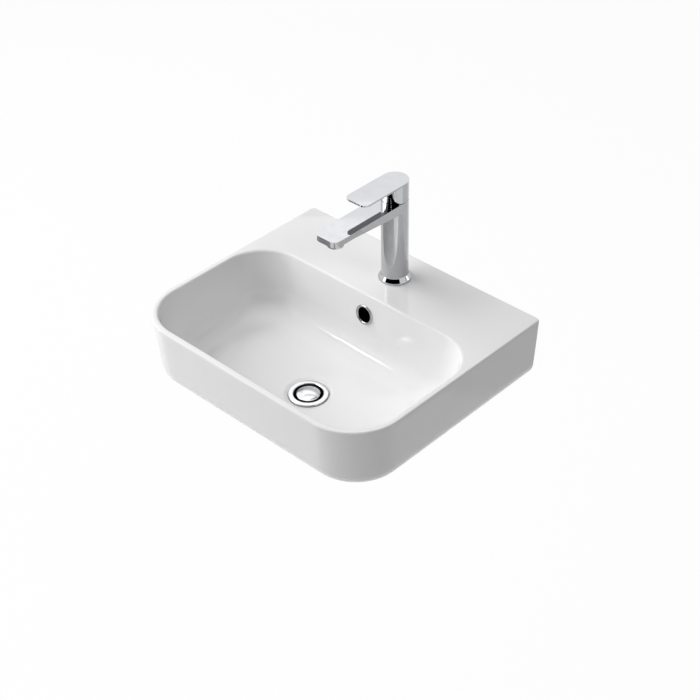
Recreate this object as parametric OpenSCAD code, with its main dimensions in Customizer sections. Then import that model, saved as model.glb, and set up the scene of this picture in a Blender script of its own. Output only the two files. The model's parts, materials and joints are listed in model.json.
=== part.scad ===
// Wall-hung basin with a single-lever mixer, an overflow and a click waste.
// The origin is midway between the two wall studs, on the wall's face; +Y points into the wall.
// Depths and heights below are measured from the rim unless a note says otherwise.

/* [Basin] */
// Width across the rim
basin_w = 500; // [460:10:600]
// Projection from the wall
basin_d = 420; // [410:5:460]
// Height of the outer wall
apron_h = 120; // [118:1:130]
// Thickness of the ceramic
wall_t = 12; // [10:1:13]
// Plan radius of the front corners
corner_r = 90; // [60:5:110]
// Plan radius of the corners at the wall
wall_corner_r = 5; // [2:1:10]
// Width of the rim along the front and the sides
rim_w = 12; // [10:1:16]
// Radius of the rim's outer edge
rim_outer_r = 3; // [1:0.5:4]
// Radius of the rim's inner edge
rim_inner_r = 4; // [2:0.5:5]
// Radius under the outer wall
apron_r = 35; // [25:1:45]
// Lean of the side walls, degrees
side_draft = 3.5; // [2:0.5:5]
// Lean of the front wall, degrees
front_draft = 5; // [4:0.5:7]
// Thickness of the tap deck
deck_t = 14; // [12:1:18]

/* [Bowl] */
// Depth of the tap deck, from the wall to the bowl
deck_d = 132; // [128:1:140]
// Plan radius of the bowl's back corners
bowl_back_r = 75; // [50:5:90]
// Radius between the bowl's walls and its floor
bowl_r = 50; // [40:1:55]
// Lean of the bowl's walls, degrees
bowl_draft = 6.5; // [4:0.5:8]
// Depth where the bowl's walls end
bowl_depth = 109; // [106:1:112]
// Depth of the floor where it meets the waste
floor_depth = 121.5; // [118:0.5:123]
// Distance of the waste from the wall
waste_y = 270; // [260:1:280]

/* [Overflow] */
// Depth of the overflow hole
overflow_depth = 37.5; // [34:0.5:42]
// Diameter of the hole in the ceramic
overflow_hole_d = 30.4; // [28:0.2:32]
// Diameter of the ring's opening
overflow_bore_d = 26.5; // [22:0.5:27]
// Outer diameter of the ring
overflow_ring_d = 34.5; // [33:0.5:38]
// Width of the overflow duct
duct_w = 34; // [32:1:40]
// Clear depth of the overflow duct
duct_t = 14; // [10:1:15]
// Wall of the overflow duct
duct_wall = 8; // [6:1:9]

/* [Wall fixing] */
// Distance between the two wall studs
stud_span = 280; // [260:10:300]
// Depth of the studs below the rim
stud_depth = 80; // [70:1:85]
// Diameter of the stud holes
stud_hole_d = 14; // [12:1:16]
// Thickness of the back plate
back_t = 14; // [12:1:16]
// Width of the plumbing cut-out in the back plate
cutout_w = 190; // [160:5:210]
// Depth where the plumbing cut-out starts
cutout_depth = 55; // [45:1:60]

/* [Mixer] */
// Distance of the mixer's axis from the wall
mixer_y = 63; // [58:1:66]
// Diameter of the column
column_d = 45; // [44:0.5:48]
// Height of the body's top above the deck
body_top = 150.5; // [149:0.5:152]
// Diameter of the tap hole
tap_hole_d = 35; // [33:1:36]
// Reach of the spout's tip from the mixer's axis
spout_reach = 160; // [140:1:175]
// Plan radius of the spout's front corners
spout_corner_r = 11; // [6:1:14]
// Thickness of the spout's tip
spout_tip_t = 10; // [10:0.5:12]
// Thickness of the spout where it leaves the column
spout_root_t = 16.5; // [14:0.5:20]
// Distance from the spout's tip to the aerator's axis
aerator_inset = 24; // [18:1:30]
// Diameter of the aerator's housing
aerator_d = 26.4; // [25.4:0.2:27]
// Drop of the aerator below the spout
aerator_drop = 13.5; // [10:0.5:15]
// Diameter of the base ring
base_ring_d = 55; // [52:1:58]
// Height of the base ring
base_ring_h = 11; // [8:1:14]
// Thickness of the base gasket
gasket_t = 1; // [0.8:0.1:1.5]
// Height of the water channel in the spout
channel_h = 4; // [3:0.5:4.5]

/* [Lever] */
// Height of the seam between the body and the lever's hub
seam_gap = 0.5; // [0.4:0.1:0.8]
// Height of the hub
hub_h = 30.5; // [28:0.5:34]
// Thickness of the lever's plate
plate_t = 3; // [2:0.5:4]
// Reach of the plate's front edge from the mixer's axis
plate_reach = 92.5; // [80:0.5:105]
// Plan radius of the plate's front corners
plate_corner_r = 11; // [6:1:14]
// Wall of the hub
hub_wall = 4.5; // [3:0.5:5]
// Lift of the lever, degrees
lift_max = 18; // [10:1:18]
// Swing of the lever each way, degrees
swing_max = 50; // [30:5:55]

/* [Cartridge] */
// Diameter of the cartridge
cartridge_d = 28; // [27.6:0.1:28.2]
// Height of the lever pin above the deck
pin_z = 144; // [143.5:0.1:144.4]
// Distance of the lever pin behind the mixer's axis
pin_back = 3; // [2:0.1:3.2]
// Diameter of the lever pin
pin_d = 3; // [2.5:0.1:3.2]
// Length of the stem below the pin, to the centre of its ball
stem_low = 14; // [13.5:0.1:14.4]
// Width across the stem's flats
stem_w = 6; // [5:0.1:6]
// Distance of the two inlets from the axis, sideways
port_x = 7.5; // [7:0.1:8]
// Distance of the two inlets in front of the axis
port_front = 4; // [3.5:0.1:4.5]
// Diameter of the inlets and the outlet under the cartridge
port_d = 5.2; // [4:0.2:5.4]
// Diameter of the holes through the fixed disc
disc_port_d = 3.8; // [3:0.1:4]

/* [Deck fixing] */
// Diameter of the fixing stud
fix_stud_d = 8; // [7:0.5:8]
// Length of the fixing stud below the deck
fix_stud_drop = 48; // [40:1:70]
// Distance of the stud behind the mixer's axis
fix_stud_back = 9; // [8.5:0.1:9.5]
// Diameter of the horseshoe plate
horseshoe_d = 44; // [42:1:48]
// Thickness of the rubber horseshoe
horseshoe_rubber_t = 2.5; // [2:0.5:4]
// Thickness of the steel horseshoe
horseshoe_steel_t = 2; // [1.5:0.5:3]
// Bore of the two hose sockets
inlet_bore_d = 9; // [8.8:0.1:9.2]
// Depth of the two hose sockets
inlet_depth = 12; // [10:1:16]

/* [Waste] */
// Diameter of the waste's flange
flange_d = 66; // [63:1:68]
// Diameter of the flange's opening
flange_open_d = 48.8; // [47.5:0.1:49.5]
// Outer diameter of the tail tube
tail_d = 41.9; // [41.5:0.1:42.3]
// Bore of the tail tube
tail_bore_d = 37; // [36:0.5:37.5]
// Length of the tail tube below the ceramic boss
tail_drop = 40; // [34:1:60]
// Outer diameter of the ceramic boss
boss_d = 84; // [78:1:90]
// Depth of the ceramic boss's lower face
boss_depth = 165; // [162:1:172]
// Thickness of the seal under the flange
flange_seal_t = 1.5; // [1:0.1:2]
// Height of the flange's dome above its underside
flange_h = 3; // [2.5:0.1:3.2]
// Width of the overflow slots in the tail tube
slot_w = 14; // [10:1:16]

/* [Plug] */
// Diameter of the plug's cap
cap_d = 38.8; // [37:0.1:39.4]
// Travel of the plug when it is pressed
plug_travel = 6; // [4:0.5:6]
// Diameter of the plug's seal
plug_seal_d = 36.4; // [35:0.1:36.4]
// Diameter of the plug's stem
plug_stem_d = 6; // [5:0.5:6]
// Outer diameter of the click housing
click_d = 17; // [16:0.5:18]
// Number of curls in the click spring
spring_curls = 5; // [4:1:6]
// Wire of the click spring
spring_wire = 0.8; // [0.6:0.1:0.9]

/* [Hidden] */

$fn = 96;
corner_steps = 14;
fillet_steps = 8;
cut = 1;
part_gap = 0.3;
run_gap = 0.05;
thread_gap = 0.1;

rim_z = stud_depth;
half_w = basin_w / 2;
tan_front_extra = tan(front_draft) - tan(side_draft);
bowl_half_w = half_w - rim_w;
bowl_front_r = corner_r - rim_w;

// Overflow duct, between the bowl's back wall and the tap deck's hollow
duct_front = deck_d - 11;
duct_back = duct_front - duct_t;
duct_top = deck_t + 6;
duct_floor = boss_depth - 13;
duct_block_w = duct_w + 2 * duct_wall;
chamber_d = boss_d - 28;
overflow_reach = 11 + tan(bowl_draft) * overflow_depth + duct_t / 2;

// Waste, from the ceramic seat upwards
seat_depth = floor_depth + 3;
flange_under = seat_depth - flange_seal_t;
flange_top = flange_under - flange_h;
seat_d = flange_d + 5;
tail_hole_d = tail_d + 4;
tail_r = tail_d / 2;
tail_end = boss_depth + tail_drop;
tail_seal_t = 4;
tail_washer_t = 2.5;
tail_nut_t = 10;
tail_ring_r = tail_r + part_gap;
relief_top = boss_depth + tail_seal_t + tail_washer_t + tail_nut_t + 1;
relief_end = relief_top + 1.5;
relief_r = tail_r - 0.8;

// Plug and click cartridge
cap_r = cap_d / 2;
cap_edge_t = 2;
cap_crown = 3.5;
cap_top = flange_top + 1.2;
cap_under = cap_top + cap_edge_t;
flange_flat_r = flange_d / 2 - 3;
neck_end = cap_under + plug_travel + 0.2;
neck_outer_r = cap_r + 2.4;
seal_inner_r = tail_hole_d / 2 + 0.6;
plug_seal_t = 2.5;
throat_depth = cap_under + plug_seal_t;
web_top = cap_under + plug_seal_t + plug_travel + 4;
web_h = 6;
web_t = 3;
click_r = click_d / 2;
click_bore_r = click_r - 2.3;
click_top = web_top - 0.5;
click_h = 30;
click_floor = click_top + click_h - 3;
plunger_r = click_bore_r - part_gap;
plunger_top = click_top + 1;
plunger_h = 12;
plunger_end = plunger_top + plunger_h;
spring_r = plunger_r - 1;

// Mixer body and spout
column_r = column_d / 2;
spout_under = body_top - spout_tip_t;
spout_root = body_top - spout_root_t;
aerator_y = mixer_y + spout_reach - aerator_inset;
aerator_flat = aerator_d / 2 + 6;
channel_z = body_top - 3;
riser_r = 2.1;
riser_front = column_r - riser_r - 1.5;
aerator_thread_r = 11.8;
aerator_thread_h = 3.5;

// Cartridge, from its seat upwards
cavity_r = cartridge_d / 2 + 0.2;
cartridge_r = cartridge_d / 2 - 0.1;
inner_r = cartridge_r - 1.7;
carrier_h = 11;
disc_t = 4;
carrier_top = pin_z - stem_low + 3;
moving_top = carrier_top - carrier_h;
fixed_top = moving_top - disc_t;
base_top = fixed_top - disc_t;
base_h = 7;
seal_t = 1.4;
seat_z = base_top - base_h - part_gap;
nut_t = 6;
nut_top = body_top - 1;
nut_bottom = nut_top - nut_t;
nut_r = cavity_r + 1.3;
neck_r = 12;
neck_bore_r = 10.7;
guide_r = inner_r - 0.2;
guide_neck_r = neck_bore_r - 0.2;
guide_top = body_top + 0.5;
moving_r = 9.7;
moving_cavity_r = 5.4;
moving_back = stem_low * sin(lift_max) / 2;
ball_r = 2.4;
pin_y = mixer_y - pin_back;
port_r = port_d / 2;
outlet_back = 5.5;
disc_port_x = 5.4;
disc_port_front = 3.4;
disc_outlet_back = 4.6;

// Lever
hub_bottom = body_top + seam_gap;
hub_top = hub_bottom + hub_h;
hub_cavity_top = hub_top - 3.5;
hub_cavity_r = column_r - hub_wall;
boss_bottom = body_top + 10;
lever_boss_r = 8;
stem_top = hub_cavity_top - 2;
relief_angle = lift_max + 1;
grub_z = body_top + 18;
grub_r = 2.5;
cover_r = 3.2;

// Deck fixing, downwards from the deck's underside
rubber_end = deck_t + horseshoe_rubber_t;
steel_end = rubber_end + horseshoe_steel_t;
fixing_nut_t = 12;
fixing_nut_end = steel_end + fixing_nut_t;
fix_stud_y = mixer_y - fix_stud_back;
stud_end = deck_t + fix_stud_drop;
stud_bury = 14;

// Moves from rim height to the studs' height
module at_rim() {
    translate([0, 0, rim_z]) children();
}

// Moves to the mixer's axis at deck height
module at_mixer() {
    at_rim() translate([0, -mixer_y, 0]) children();
}

// Moves to the waste's axis at rim height
module at_waste() {
    at_rim() translate([0, -waste_y, 0]) children();
}

// A flat ring with its lower face at z
module washer(outer_r, inner_r, height, z) {
    translate([0, 0, z]) difference() {
        cylinder(r = outer_r, h = height);
        translate([0, 0, -cut]) cylinder(r = inner_r, h = height + 2 * cut);
    }
}

function arc_points(cx, cy, r, a0, a1, steps, z) =
    [for (i = [0:steps]) let (a = a0 + (a1 - a0) * i / steps) [cx + r * cos(a), cy + r * sin(a), z]];

// A rounded rectangle at height z, anticlockwise from above
function ring(half, front, back, front_r, back_r, z, back_steps) = concat(
    arc_points(half - front_r, front + front_r, front_r, -90, 0, corner_steps, z),
    arc_points(half - back_r, back - back_r, back_r, 0, 90, back_steps, z),
    arc_points(back_r - half, back - back_r, back_r, 90, 180, back_steps, z),
    arc_points(front_r - half, front + front_r, front_r, 180, 270, corner_steps, z));

// A wall that leans in by draft and turns with radius r into a floor that falls by slope
function arc_depth(draft, r, depth, slope) = depth - r * cos(slope);
function wall_end(draft, r, depth, slope) = arc_depth(draft, r, depth, slope) + r * sin(draft);
function arc_inset(draft, r, depth, slope) = tan(draft) * wall_end(draft, r, depth, slope) + r * cos(draft);
function wall_profile(draft, r, depth, slope) = [
    for (i = [0:fillet_steps])
        let (a = draft + (90 - slope - draft) * i / fillet_steps)
        [arc_inset(draft, r, depth, slope) - r * cos(a), arc_depth(draft, r, depth, slope) + r * sin(a)]];
function inset_at(d, draft, r, depth, slope) =
    d <= wall_end(draft, r, depth, slope)
        ? tan(draft) * d
        : arc_inset(draft, r, depth, slope) - sqrt(max(0, r * r - pow(min(d, depth)
            - arc_depth(draft, r, depth, slope), 2)));

// A closed solid through rings of the same number of points, from top to bottom
module loft(rings) {
    n = len(rings[0]);
    last = len(rings) - 1;
    sides = [for (i = [0:last - 1], j = [0:n - 1], half = [0, 1])
        half == 0
            ? [i * n + j, i * n + (j + 1) % n, (i + 1) * n + (j + 1) % n]
            : [i * n + j, (i + 1) * n + (j + 1) % n, (i + 1) * n + j]];
    top = [for (j = [n - 1:-1:0]) j];
    bottom = [for (j = [0:n - 1]) last * n + j];
    polyhedron([for (r = rings) each r], concat([top], sides, [bottom]));
}

apron_slope = 8;
bowl_slope = 10;
apron_profile = concat(
    [for (b = [0:22.5:67.5]) [rim_outer_r * (1 - sin(b)), rim_outer_r * (1 - cos(b))]],
    [[0, rim_outer_r]],
    wall_profile(side_draft, apron_r, apron_h, apron_slope));
bowl_profile = concat(
    [[-rim_inner_r, -cut]],
    [for (b = [0:22.5:90]) [-rim_inner_r * (1 - sin(b)), rim_inner_r * (1 - cos(b))]],
    wall_profile(bowl_draft, bowl_r, bowl_depth, bowl_slope));
belly_depth = floor_depth + wall_t + 1;

module apron_solid() {
    outline = [for (p = apron_profile)
        ring(half_w - p[0], -basin_d + p[0] + tan_front_extra * p[1], 0,
            max(corner_r - p[0], 20), wall_corner_r, -p[1], 3)];
    boss_r = boss_d / 2;
    belly = ring(boss_r, -waste_y - boss_r, -waste_y + boss_r, boss_r - 0.5, boss_r - 0.5, -belly_depth, 3);
    loft(concat(outline, [belly]));
}

module bowl_void() {
    outline = [for (p = bowl_profile)
        ring(bowl_half_w - p[0], -basin_d + rim_w + p[0], -deck_d - p[0],
            bowl_front_r, bowl_back_r, -p[1], corner_steps)];
    rim_r = seat_d / 2;
    drain = ring(rim_r, -waste_y - rim_r, -waste_y + rim_r, rim_r - 0.5, rim_r - 0.5, -floor_depth,
        corner_steps);
    loft(concat(outline, [drain]));
    translate([0, -waste_y, -seat_depth]) cylinder(d = seat_d, h = seat_depth - floor_depth + cut);
}

// The hollow under the tap deck, open below, between the back plate and the bowl's back wall
module deck_void() {
    depths = [deck_t, 45, 62, 78, 92, 103, 112, 119];
    outline = [for (d = depths)
        ring(half_w - wall_t - inset_at(d, side_draft, apron_r, apron_h, apron_slope),
            -deck_d - inset_at(d, bowl_draft, bowl_r, bowl_depth, bowl_slope) + wall_t,
            -back_t, 8, 8, -d, 3)];
    mouth = [for (p = outline[len(outline) - 1]) [p[0], p[1], -boss_depth - 5]];
    loft(concat(outline, [mouth]));
}

module duct_block() {
    translate([-duct_block_w / 2, -duct_front - duct_wall, -duct_floor - duct_wall])
        cube([duct_block_w, duct_t + 2 * duct_wall, duct_floor + duct_wall - deck_t / 2]);
    translate([-duct_block_w / 2, -waste_y + chamber_d / 2, -duct_floor - duct_wall])
        cube([duct_block_w, waste_y - chamber_d / 2 - duct_back, duct_t + 2 * duct_wall]);
}

module duct_void() {
    translate([-duct_w / 2, -duct_front, -duct_floor]) cube([duct_w, duct_t, duct_floor - duct_top]);
    translate([-duct_w / 2, -waste_y, -duct_floor]) cube([duct_w, waste_y - duct_back, duct_t]);
    translate([0, -waste_y, -duct_floor]) cylinder(d = chamber_d, h = duct_t);
}

// Moves to the overflow's centre on the bowl's back wall, with +Z out of the wall
module at_overflow() {
    translate([0, -deck_d - tan(bowl_draft) * overflow_depth, -overflow_depth])
        rotate([90 - bowl_draft, 0, 0])
        children();
}

module basin_body() {
    color("white") at_rim() difference() {
        union() {
            difference() {
                apron_solid();
                deck_void();
            }
            duct_block();
            translate([0, -waste_y, -boss_depth]) cylinder(d = boss_d, h = boss_depth - bowl_depth);
        }
        bowl_void();
        duct_void();
        at_overflow() translate([0, 0, -overflow_reach])
            cylinder(d = overflow_hole_d, h = overflow_reach + 10);
        translate([0, -waste_y, -boss_depth - cut]) cylinder(d = tail_hole_d, h = boss_depth);
        translate([0, -waste_y, -neck_end - flange_seal_t])
            cylinder(r1 = neck_outer_r, r2 = flange_flat_r, h = neck_end - flange_under);
        translate([0, -mixer_y, -deck_t - cut]) cylinder(d = tap_hole_d, h = deck_t + 2 * cut);
        for (side = [-1, 1])
            translate([side * stud_span / 2, cut, -stud_depth])
                rotate([90, 0, 0])
                cylinder(d = stud_hole_d, h = back_t + 2 * cut);
        translate([-cutout_w / 2, -back_t - cut, -boss_depth])
            cube([cutout_w, back_t + 2 * cut, boss_depth - cutout_depth]);
    }
}

module overflow_ring() {
    flange_r = overflow_ring_d / 2;
    sleeve_r = overflow_hole_d / 2 - 0.2;
    bore_r = overflow_bore_d / 2;
    color("silver") at_rim() at_overflow() rotate_extrude()
        polygon([[bore_r, -11], [sleeve_r, -11], [sleeve_r, 0], [flange_r, 0], [flange_r, 0.8],
            [flange_r - 1.2, 2], [bore_r + 0.8, 2], [bore_r, 1.2]]);
}

// The spout's outline from above, joined to the column
module spout_plan() {
    tip = -spout_reach;
    r = spout_corner_r;
    union() {
        translate([-column_r, tip + r]) square([column_d, spout_reach - r]);
        translate([r - column_r, tip]) square([column_d - 2 * r, spout_reach]);
        for (side = [-1, 1])
            translate([side * (column_r - r), tip + r]) circle(r = r);
    }
}

// The spout's outline from the side: level on top, thinner towards the tip
module spout_profile() {
    tip = -spout_reach - cut;
    flat_end = -(aerator_y - mixer_y) + aerator_flat;
    polygon([[tip, spout_under], [flat_end, spout_under], [-column_r, spout_root], [0, spout_root],
        [0, body_top], [tip, body_top]]);
}

module spout_solid() {
    intersection() {
        linear_extrude(height = body_top + cut) spout_plan();
        translate([-column_r - cut, 0, 0])
            rotate([90, 0, 90])
            linear_extrude(height = column_d + 2 * cut)
            spout_profile();
    }
}

module mixer_body() {
    color("silver") at_mixer() difference() {
        union() {
            translate([0, 0, gasket_t]) cylinder(r = column_r, h = body_top - gasket_t);
            spout_solid();
        }
        translate([0, 0, seat_z]) cylinder(r = cavity_r, h = body_top);
        translate([0, 0, nut_bottom]) cylinder(r = nut_r + thread_gap, h = body_top);
        for (side = [-1, 1]) translate([side * port_x, -port_front, 0]) {
            cylinder(r = port_r, h = seat_z + cut);
            cylinder(d = inlet_bore_d, h = inlet_depth + gasket_t);
        }
        translate([0, outlet_back, seat_z - 6]) cylinder(r = port_r, h = 6 + cut);
        translate([0, outlet_back, seat_z - 6])
            rotate([90, 0, 0])
            cylinder(r = riser_r, h = riser_front + outlet_back);
        translate([0, -riser_front, seat_z - 6]) cylinder(r = riser_r, h = channel_z - seat_z + 5);
        translate([-9, mixer_y - aerator_y, channel_z - channel_h])
            cube([18, aerator_y - mixer_y - riser_front + riser_r, channel_h]);
        translate([0, mixer_y - aerator_y, spout_under - cut])
            cylinder(r = aerator_thread_r + thread_gap, h = channel_z - spout_under + cut);
        translate([0, fix_stud_back, 0]) cylinder(d = fix_stud_d + 2 * thread_gap, h = gasket_t + stud_bury);
    }
}

module base_ring() {
    inner = column_r + run_gap * 2;
    outer = base_ring_d / 2;
    foot_h = 4;
    cove_r = min(outer - inner - 0.8, base_ring_h - foot_h);
    color("silver") at_mixer() difference() {
        rotate_extrude()
            polygon(concat([[inner, 0], [outer, 0], [outer, foot_h - 1], [outer - 0.6, foot_h]],
                [for (a = [0:15:90]) [inner + 0.6 + cove_r * (1 - sin(a)),
                    foot_h + 0.4 + (base_ring_h - foot_h - 0.4) * (1 - cos(a))]],
                [[inner, base_ring_h]]));
        translate([0, 0, -cut]) cylinder(r = inner, h = base_ring_h + 2 * cut);
    }
}

module base_gasket() {
    color("dimgray") at_mixer() difference() {
        cylinder(r = column_r - 0.5, h = gasket_t);
        translate([0, 0, -cut]) cylinder(r = tap_hole_d / 2, h = gasket_t + 2 * cut);
    }
}

module at_aerator() {
    at_rim() translate([0, -aerator_y, spout_under]) children();
}

module aerator_housing() {
    color("silver") at_aerator() difference() {
        union() {
            translate([0, 0, -aerator_drop]) cylinder(d = aerator_d, h = aerator_drop);
            cylinder(r = aerator_thread_r, h = aerator_thread_h);
        }
        translate([0, 0, -aerator_drop + 1.2]) cylinder(r = aerator_thread_r - 1.4, h = 20);
        translate([0, 0, -aerator_drop - cut]) cylinder(r = aerator_thread_r - 2.4, h = 5);
    }
}

module aerator_insert() {
    insert_r = aerator_thread_r - 1.6;
    color("gainsboro") at_aerator() difference() {
        translate([0, 0, -aerator_drop + 1.3]) cylinder(r = insert_r, h = aerator_drop - 1.3 + 2);
        translate([0, 0, -aerator_drop + 4]) cylinder(r = insert_r - 1.2, h = aerator_drop);
        for (ring_r = [3.2, 6.4], k = [0:(ring_r > 4 ? 11 : 5)])
            rotate([0, 0, k * (ring_r > 4 ? 30 : 60)])
                translate([ring_r, 0, -aerator_drop])
                cylinder(r = 1.1, h = 8, $fn = 24);
    }
}

module aerator_seal() {
    color("dimgray") at_aerator() washer(aerator_thread_r - 0.3, aerator_thread_r - 3, 1, aerator_thread_h);
}

// The inlets and the outlet as the body has them
module body_ports(r, z, h) {
    for (side = [-1, 1]) translate([side * port_x, -port_front, z]) cylinder(r = r, h = h);
    translate([0, outlet_back, z]) cylinder(r = r, h = h);
}

// The same three passages where they reach the moving disc
module disc_ports(z, h) {
    for (side = [-1, 1])
        translate([side * disc_port_x, -disc_port_front, z]) cylinder(d = disc_port_d, h = h);
    translate([0, disc_outlet_back, z]) cylinder(d = disc_port_d, h = h);
}

module cartridge_base() {
    bottom = seat_z + part_gap;
    color("whitesmoke") at_mixer() difference() {
        translate([0, 0, bottom]) cylinder(r = cartridge_r, h = base_h);
        body_ports(port_r, seat_z, part_gap + base_h / 2 + 0.5);
        disc_ports(bottom + base_h / 2 - 0.5, base_h);
        body_ports(port_r + seal_t + 0.2, seat_z, seal_t + 0.1);
    }
}

module port_seals() {
    color("dimgray") at_mixer() difference() {
        body_ports(port_r + seal_t, seat_z, seal_t);
        body_ports(port_r + 0.1, seat_z - cut, seal_t + 2 * cut);
    }
}

module fixed_disc() {
    color("ivory") at_mixer() difference() {
        translate([0, 0, base_top]) cylinder(r = inner_r - 0.1, h = disc_t);
        disc_ports(base_top - cut, disc_t + 2 * cut);
    }
}

// Moves to the rest place of the disc that slides as the lever lifts
module at_disc() {
    at_mixer() translate([0, moving_back, 0]) children();
}

module moving_disc() {
    color("ivory") at_disc() difference() {
        translate([0, 0, fixed_top]) cylinder(r = moving_r, h = disc_t);
        translate([0, 0, fixed_top - cut]) cylinder(r = moving_cavity_r, h = cut + disc_t / 2);
    }
}

// The block that the stem's ball drives, widening upwards for the leaning stem
module disc_carrier() {
    ball_z = pin_z - stem_low;
    hole_r = ball_r + part_gap;
    color("whitesmoke") difference() {
        at_disc() translate([0, 0, moving_top]) cylinder(r = moving_r, h = carrier_h);
        at_mixer() translate([0, pin_back, ball_z - hole_r]) cylinder(r = hole_r, h = carrier_h);
        at_mixer() translate([0, pin_back, ball_z])
            cylinder(r1 = hole_r, r2 = hole_r + 1.5, h = carrier_top - ball_z + 0.01);
    }
}

module cartridge_housing() {
    wall_top = nut_bottom;
    color("whitesmoke") at_mixer() difference() {
        union() {
            translate([0, 0, base_top]) cylinder(r = cartridge_r, h = wall_top - base_top);
            translate([0, 0, wall_top]) cylinder(r = neck_r, h = nut_top - wall_top);
        }
        translate([0, 0, base_top - cut]) cylinder(r = inner_r, h = wall_top - base_top + cut - 1.5);
        translate([0, 0, base_top]) cylinder(r = neck_bore_r, h = body_top);
    }
}

module spindle_guide() {
    shoulder = nut_bottom - 1.8;
    guide_bottom = carrier_top + 1;
    slot_half = stem_w / 2 + part_gap;
    slot_front = stem_w / 2 + 2.2;
    slot_back = stem_w / 2 + (guide_top - pin_z) * tan(lift_max) + 0.6;
    color("whitesmoke") at_mixer() difference() {
        union() {
            translate([0, 0, guide_bottom]) cylinder(r = guide_r, h = shoulder - guide_bottom);
            translate([0, 0, guide_bottom]) cylinder(r = guide_neck_r, h = guide_top - guide_bottom);
        }
        translate([-slot_half, pin_back - slot_front - 1.4, guide_bottom - cut])
            cube([2 * slot_half, slot_front + 1.4 + slot_back, guide_top]);
        translate([-guide_r, pin_back, pin_z])
            rotate([0, 90, 0])
            cylinder(d = pin_d, h = 2 * guide_r);
    }
}

module lever_pin() {
    reach = sqrt(pow(guide_neck_r, 2) - pow(pin_back + pin_d / 2, 2)) - 0.2;
    color("silver") at_mixer() translate([-reach, pin_back, pin_z])
        rotate([0, 90, 0])
        cylinder(d = pin_d, h = 2 * reach);
}

module lever_stem() {
    shank_h = pin_z - 3.5 - (pin_z - stem_low);
    color("goldenrod") at_mixer() translate([0, pin_back, 0]) difference() {
        union() {
            translate([-stem_w / 2, -stem_w / 2, pin_z - 3.5])
                cube([stem_w, stem_w, stem_top - pin_z + 3.5]);
            translate([0, 0, pin_z - stem_low]) cylinder(r = 1.9, h = shank_h + cut);
            translate([0, 0, pin_z - stem_low]) sphere(r = ball_r);
        }
        translate([-stem_w, 0, pin_z])
            rotate([0, 90, 0])
            cylinder(r = pin_d / 2 + run_gap, h = 2 * stem_w);
    }
}

module cartridge_nut() {
    color("goldenrod") at_mixer() washer(nut_r, neck_r + 0.2, nut_t, nut_bottom);
}

// The plate's outline from above: round round the axis, straight sides, rounded front corners
module plate_plan() {
    r = plate_corner_r;
    union() {
        circle(r = column_r);
        translate([-column_r, r - plate_reach]) square([column_d, plate_reach - r]);
        translate([r - column_r, -plate_reach]) square([column_d - 2 * r, plate_reach]);
        for (side = [-1, 1])
            translate([side * (column_r - r), r - plate_reach]) circle(r = r);
    }
}

module lever_handle() {
    socket_w = stem_w + 0.2;
    color("silver") at_mixer() difference() {
        union() {
            difference() {
                translate([0, 0, hub_bottom]) cylinder(r = column_r, h = hub_h);
                translate([0, 0, hub_bottom - cut])
                    cylinder(r = hub_cavity_r, h = hub_cavity_top - hub_bottom + cut);
            }
            translate([0, pin_back, boss_bottom]) cylinder(r = lever_boss_r, h = hub_top - boss_bottom);
            translate([-5, pin_back, grub_z - 5]) cube([10, column_r - pin_back - 1.5, 10]);
            translate([0, 0, hub_top]) linear_extrude(height = plate_t) plate_plan();
        }
        translate([-socket_w / 2, pin_back - socket_w / 2, boss_bottom - cut])
            cube([socket_w, socket_w, stem_top - boss_bottom + cut + 0.2]);
        translate([0, column_r + cut, grub_z])
            rotate([90, 0, 0])
            cylinder(r = grub_r + thread_gap, h = column_r + cut - pin_back);
        translate([0, column_r + cut, grub_z])
            rotate([90, 0, 0])
            cylinder(r = cover_r + thread_gap, h = cut + 3.1);
        translate([0, pin_back - 1.5, hub_bottom])
            rotate([relief_angle, 0, 0])
            translate([-column_d, 0, -column_d])
            cube([2 * column_d, 2 * column_d, column_d]);
    }
}

module grub_screw() {
    tip = pin_back + stem_w / 2 + 0.1;
    color("dimgray") at_mixer() translate([0, tip, grub_z]) rotate([-90, 0, 0]) difference() {
        cylinder(r = grub_r, h = 8);
        translate([0, 0, 5]) cylinder(r = 1.4, h = 4, $fn = 6);
    }
}

module screw_cover() {
    color("silver") at_mixer() translate([0, column_r - 3, grub_z])
        rotate([-90, 0, 0])
        cylinder(r = cover_r, h = 2.6);
}

module fixing_stud() {
    color("goldenrod") at_rim() translate([0, -fix_stud_y, -stud_end])
        cylinder(d = fix_stud_d, h = stud_end + gasket_t + stud_bury - 1);
}

// A disc with an open slot in front of the stud, for the two hoses
module horseshoe(top, height) {
    hose_w = 2 * port_x + inlet_bore_d + 6;
    hose_back = inlet_bore_d / 2 - port_front + 1;
    at_mixer() translate([0, 0, -top - height]) difference() {
        cylinder(d = horseshoe_d, h = height);
        translate([-hose_w / 2, hose_back - horseshoe_d, -cut])
            cube([hose_w, horseshoe_d, height + 2 * cut]);
        translate([0, fix_stud_back, -cut]) cylinder(d = fix_stud_d + 0.6, h = height + 2 * cut);
    }
}

module rubber_horseshoe() {
    color("dimgray") horseshoe(deck_t, horseshoe_rubber_t);
}

module steel_horseshoe() {
    color("lightsteelblue") horseshoe(rubber_end, horseshoe_steel_t);
}

module fixing_nut() {
    color("goldenrod") at_rim() translate([0, -fix_stud_y, -fixing_nut_end]) difference() {
        cylinder(r = fix_stud_d * 0.82, h = fixing_nut_t, $fn = 6);
        translate([0, 0, -cut]) cylinder(d = fix_stud_d + 2 * thread_gap, h = fixing_nut_t + 2 * cut);
    }
}

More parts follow.
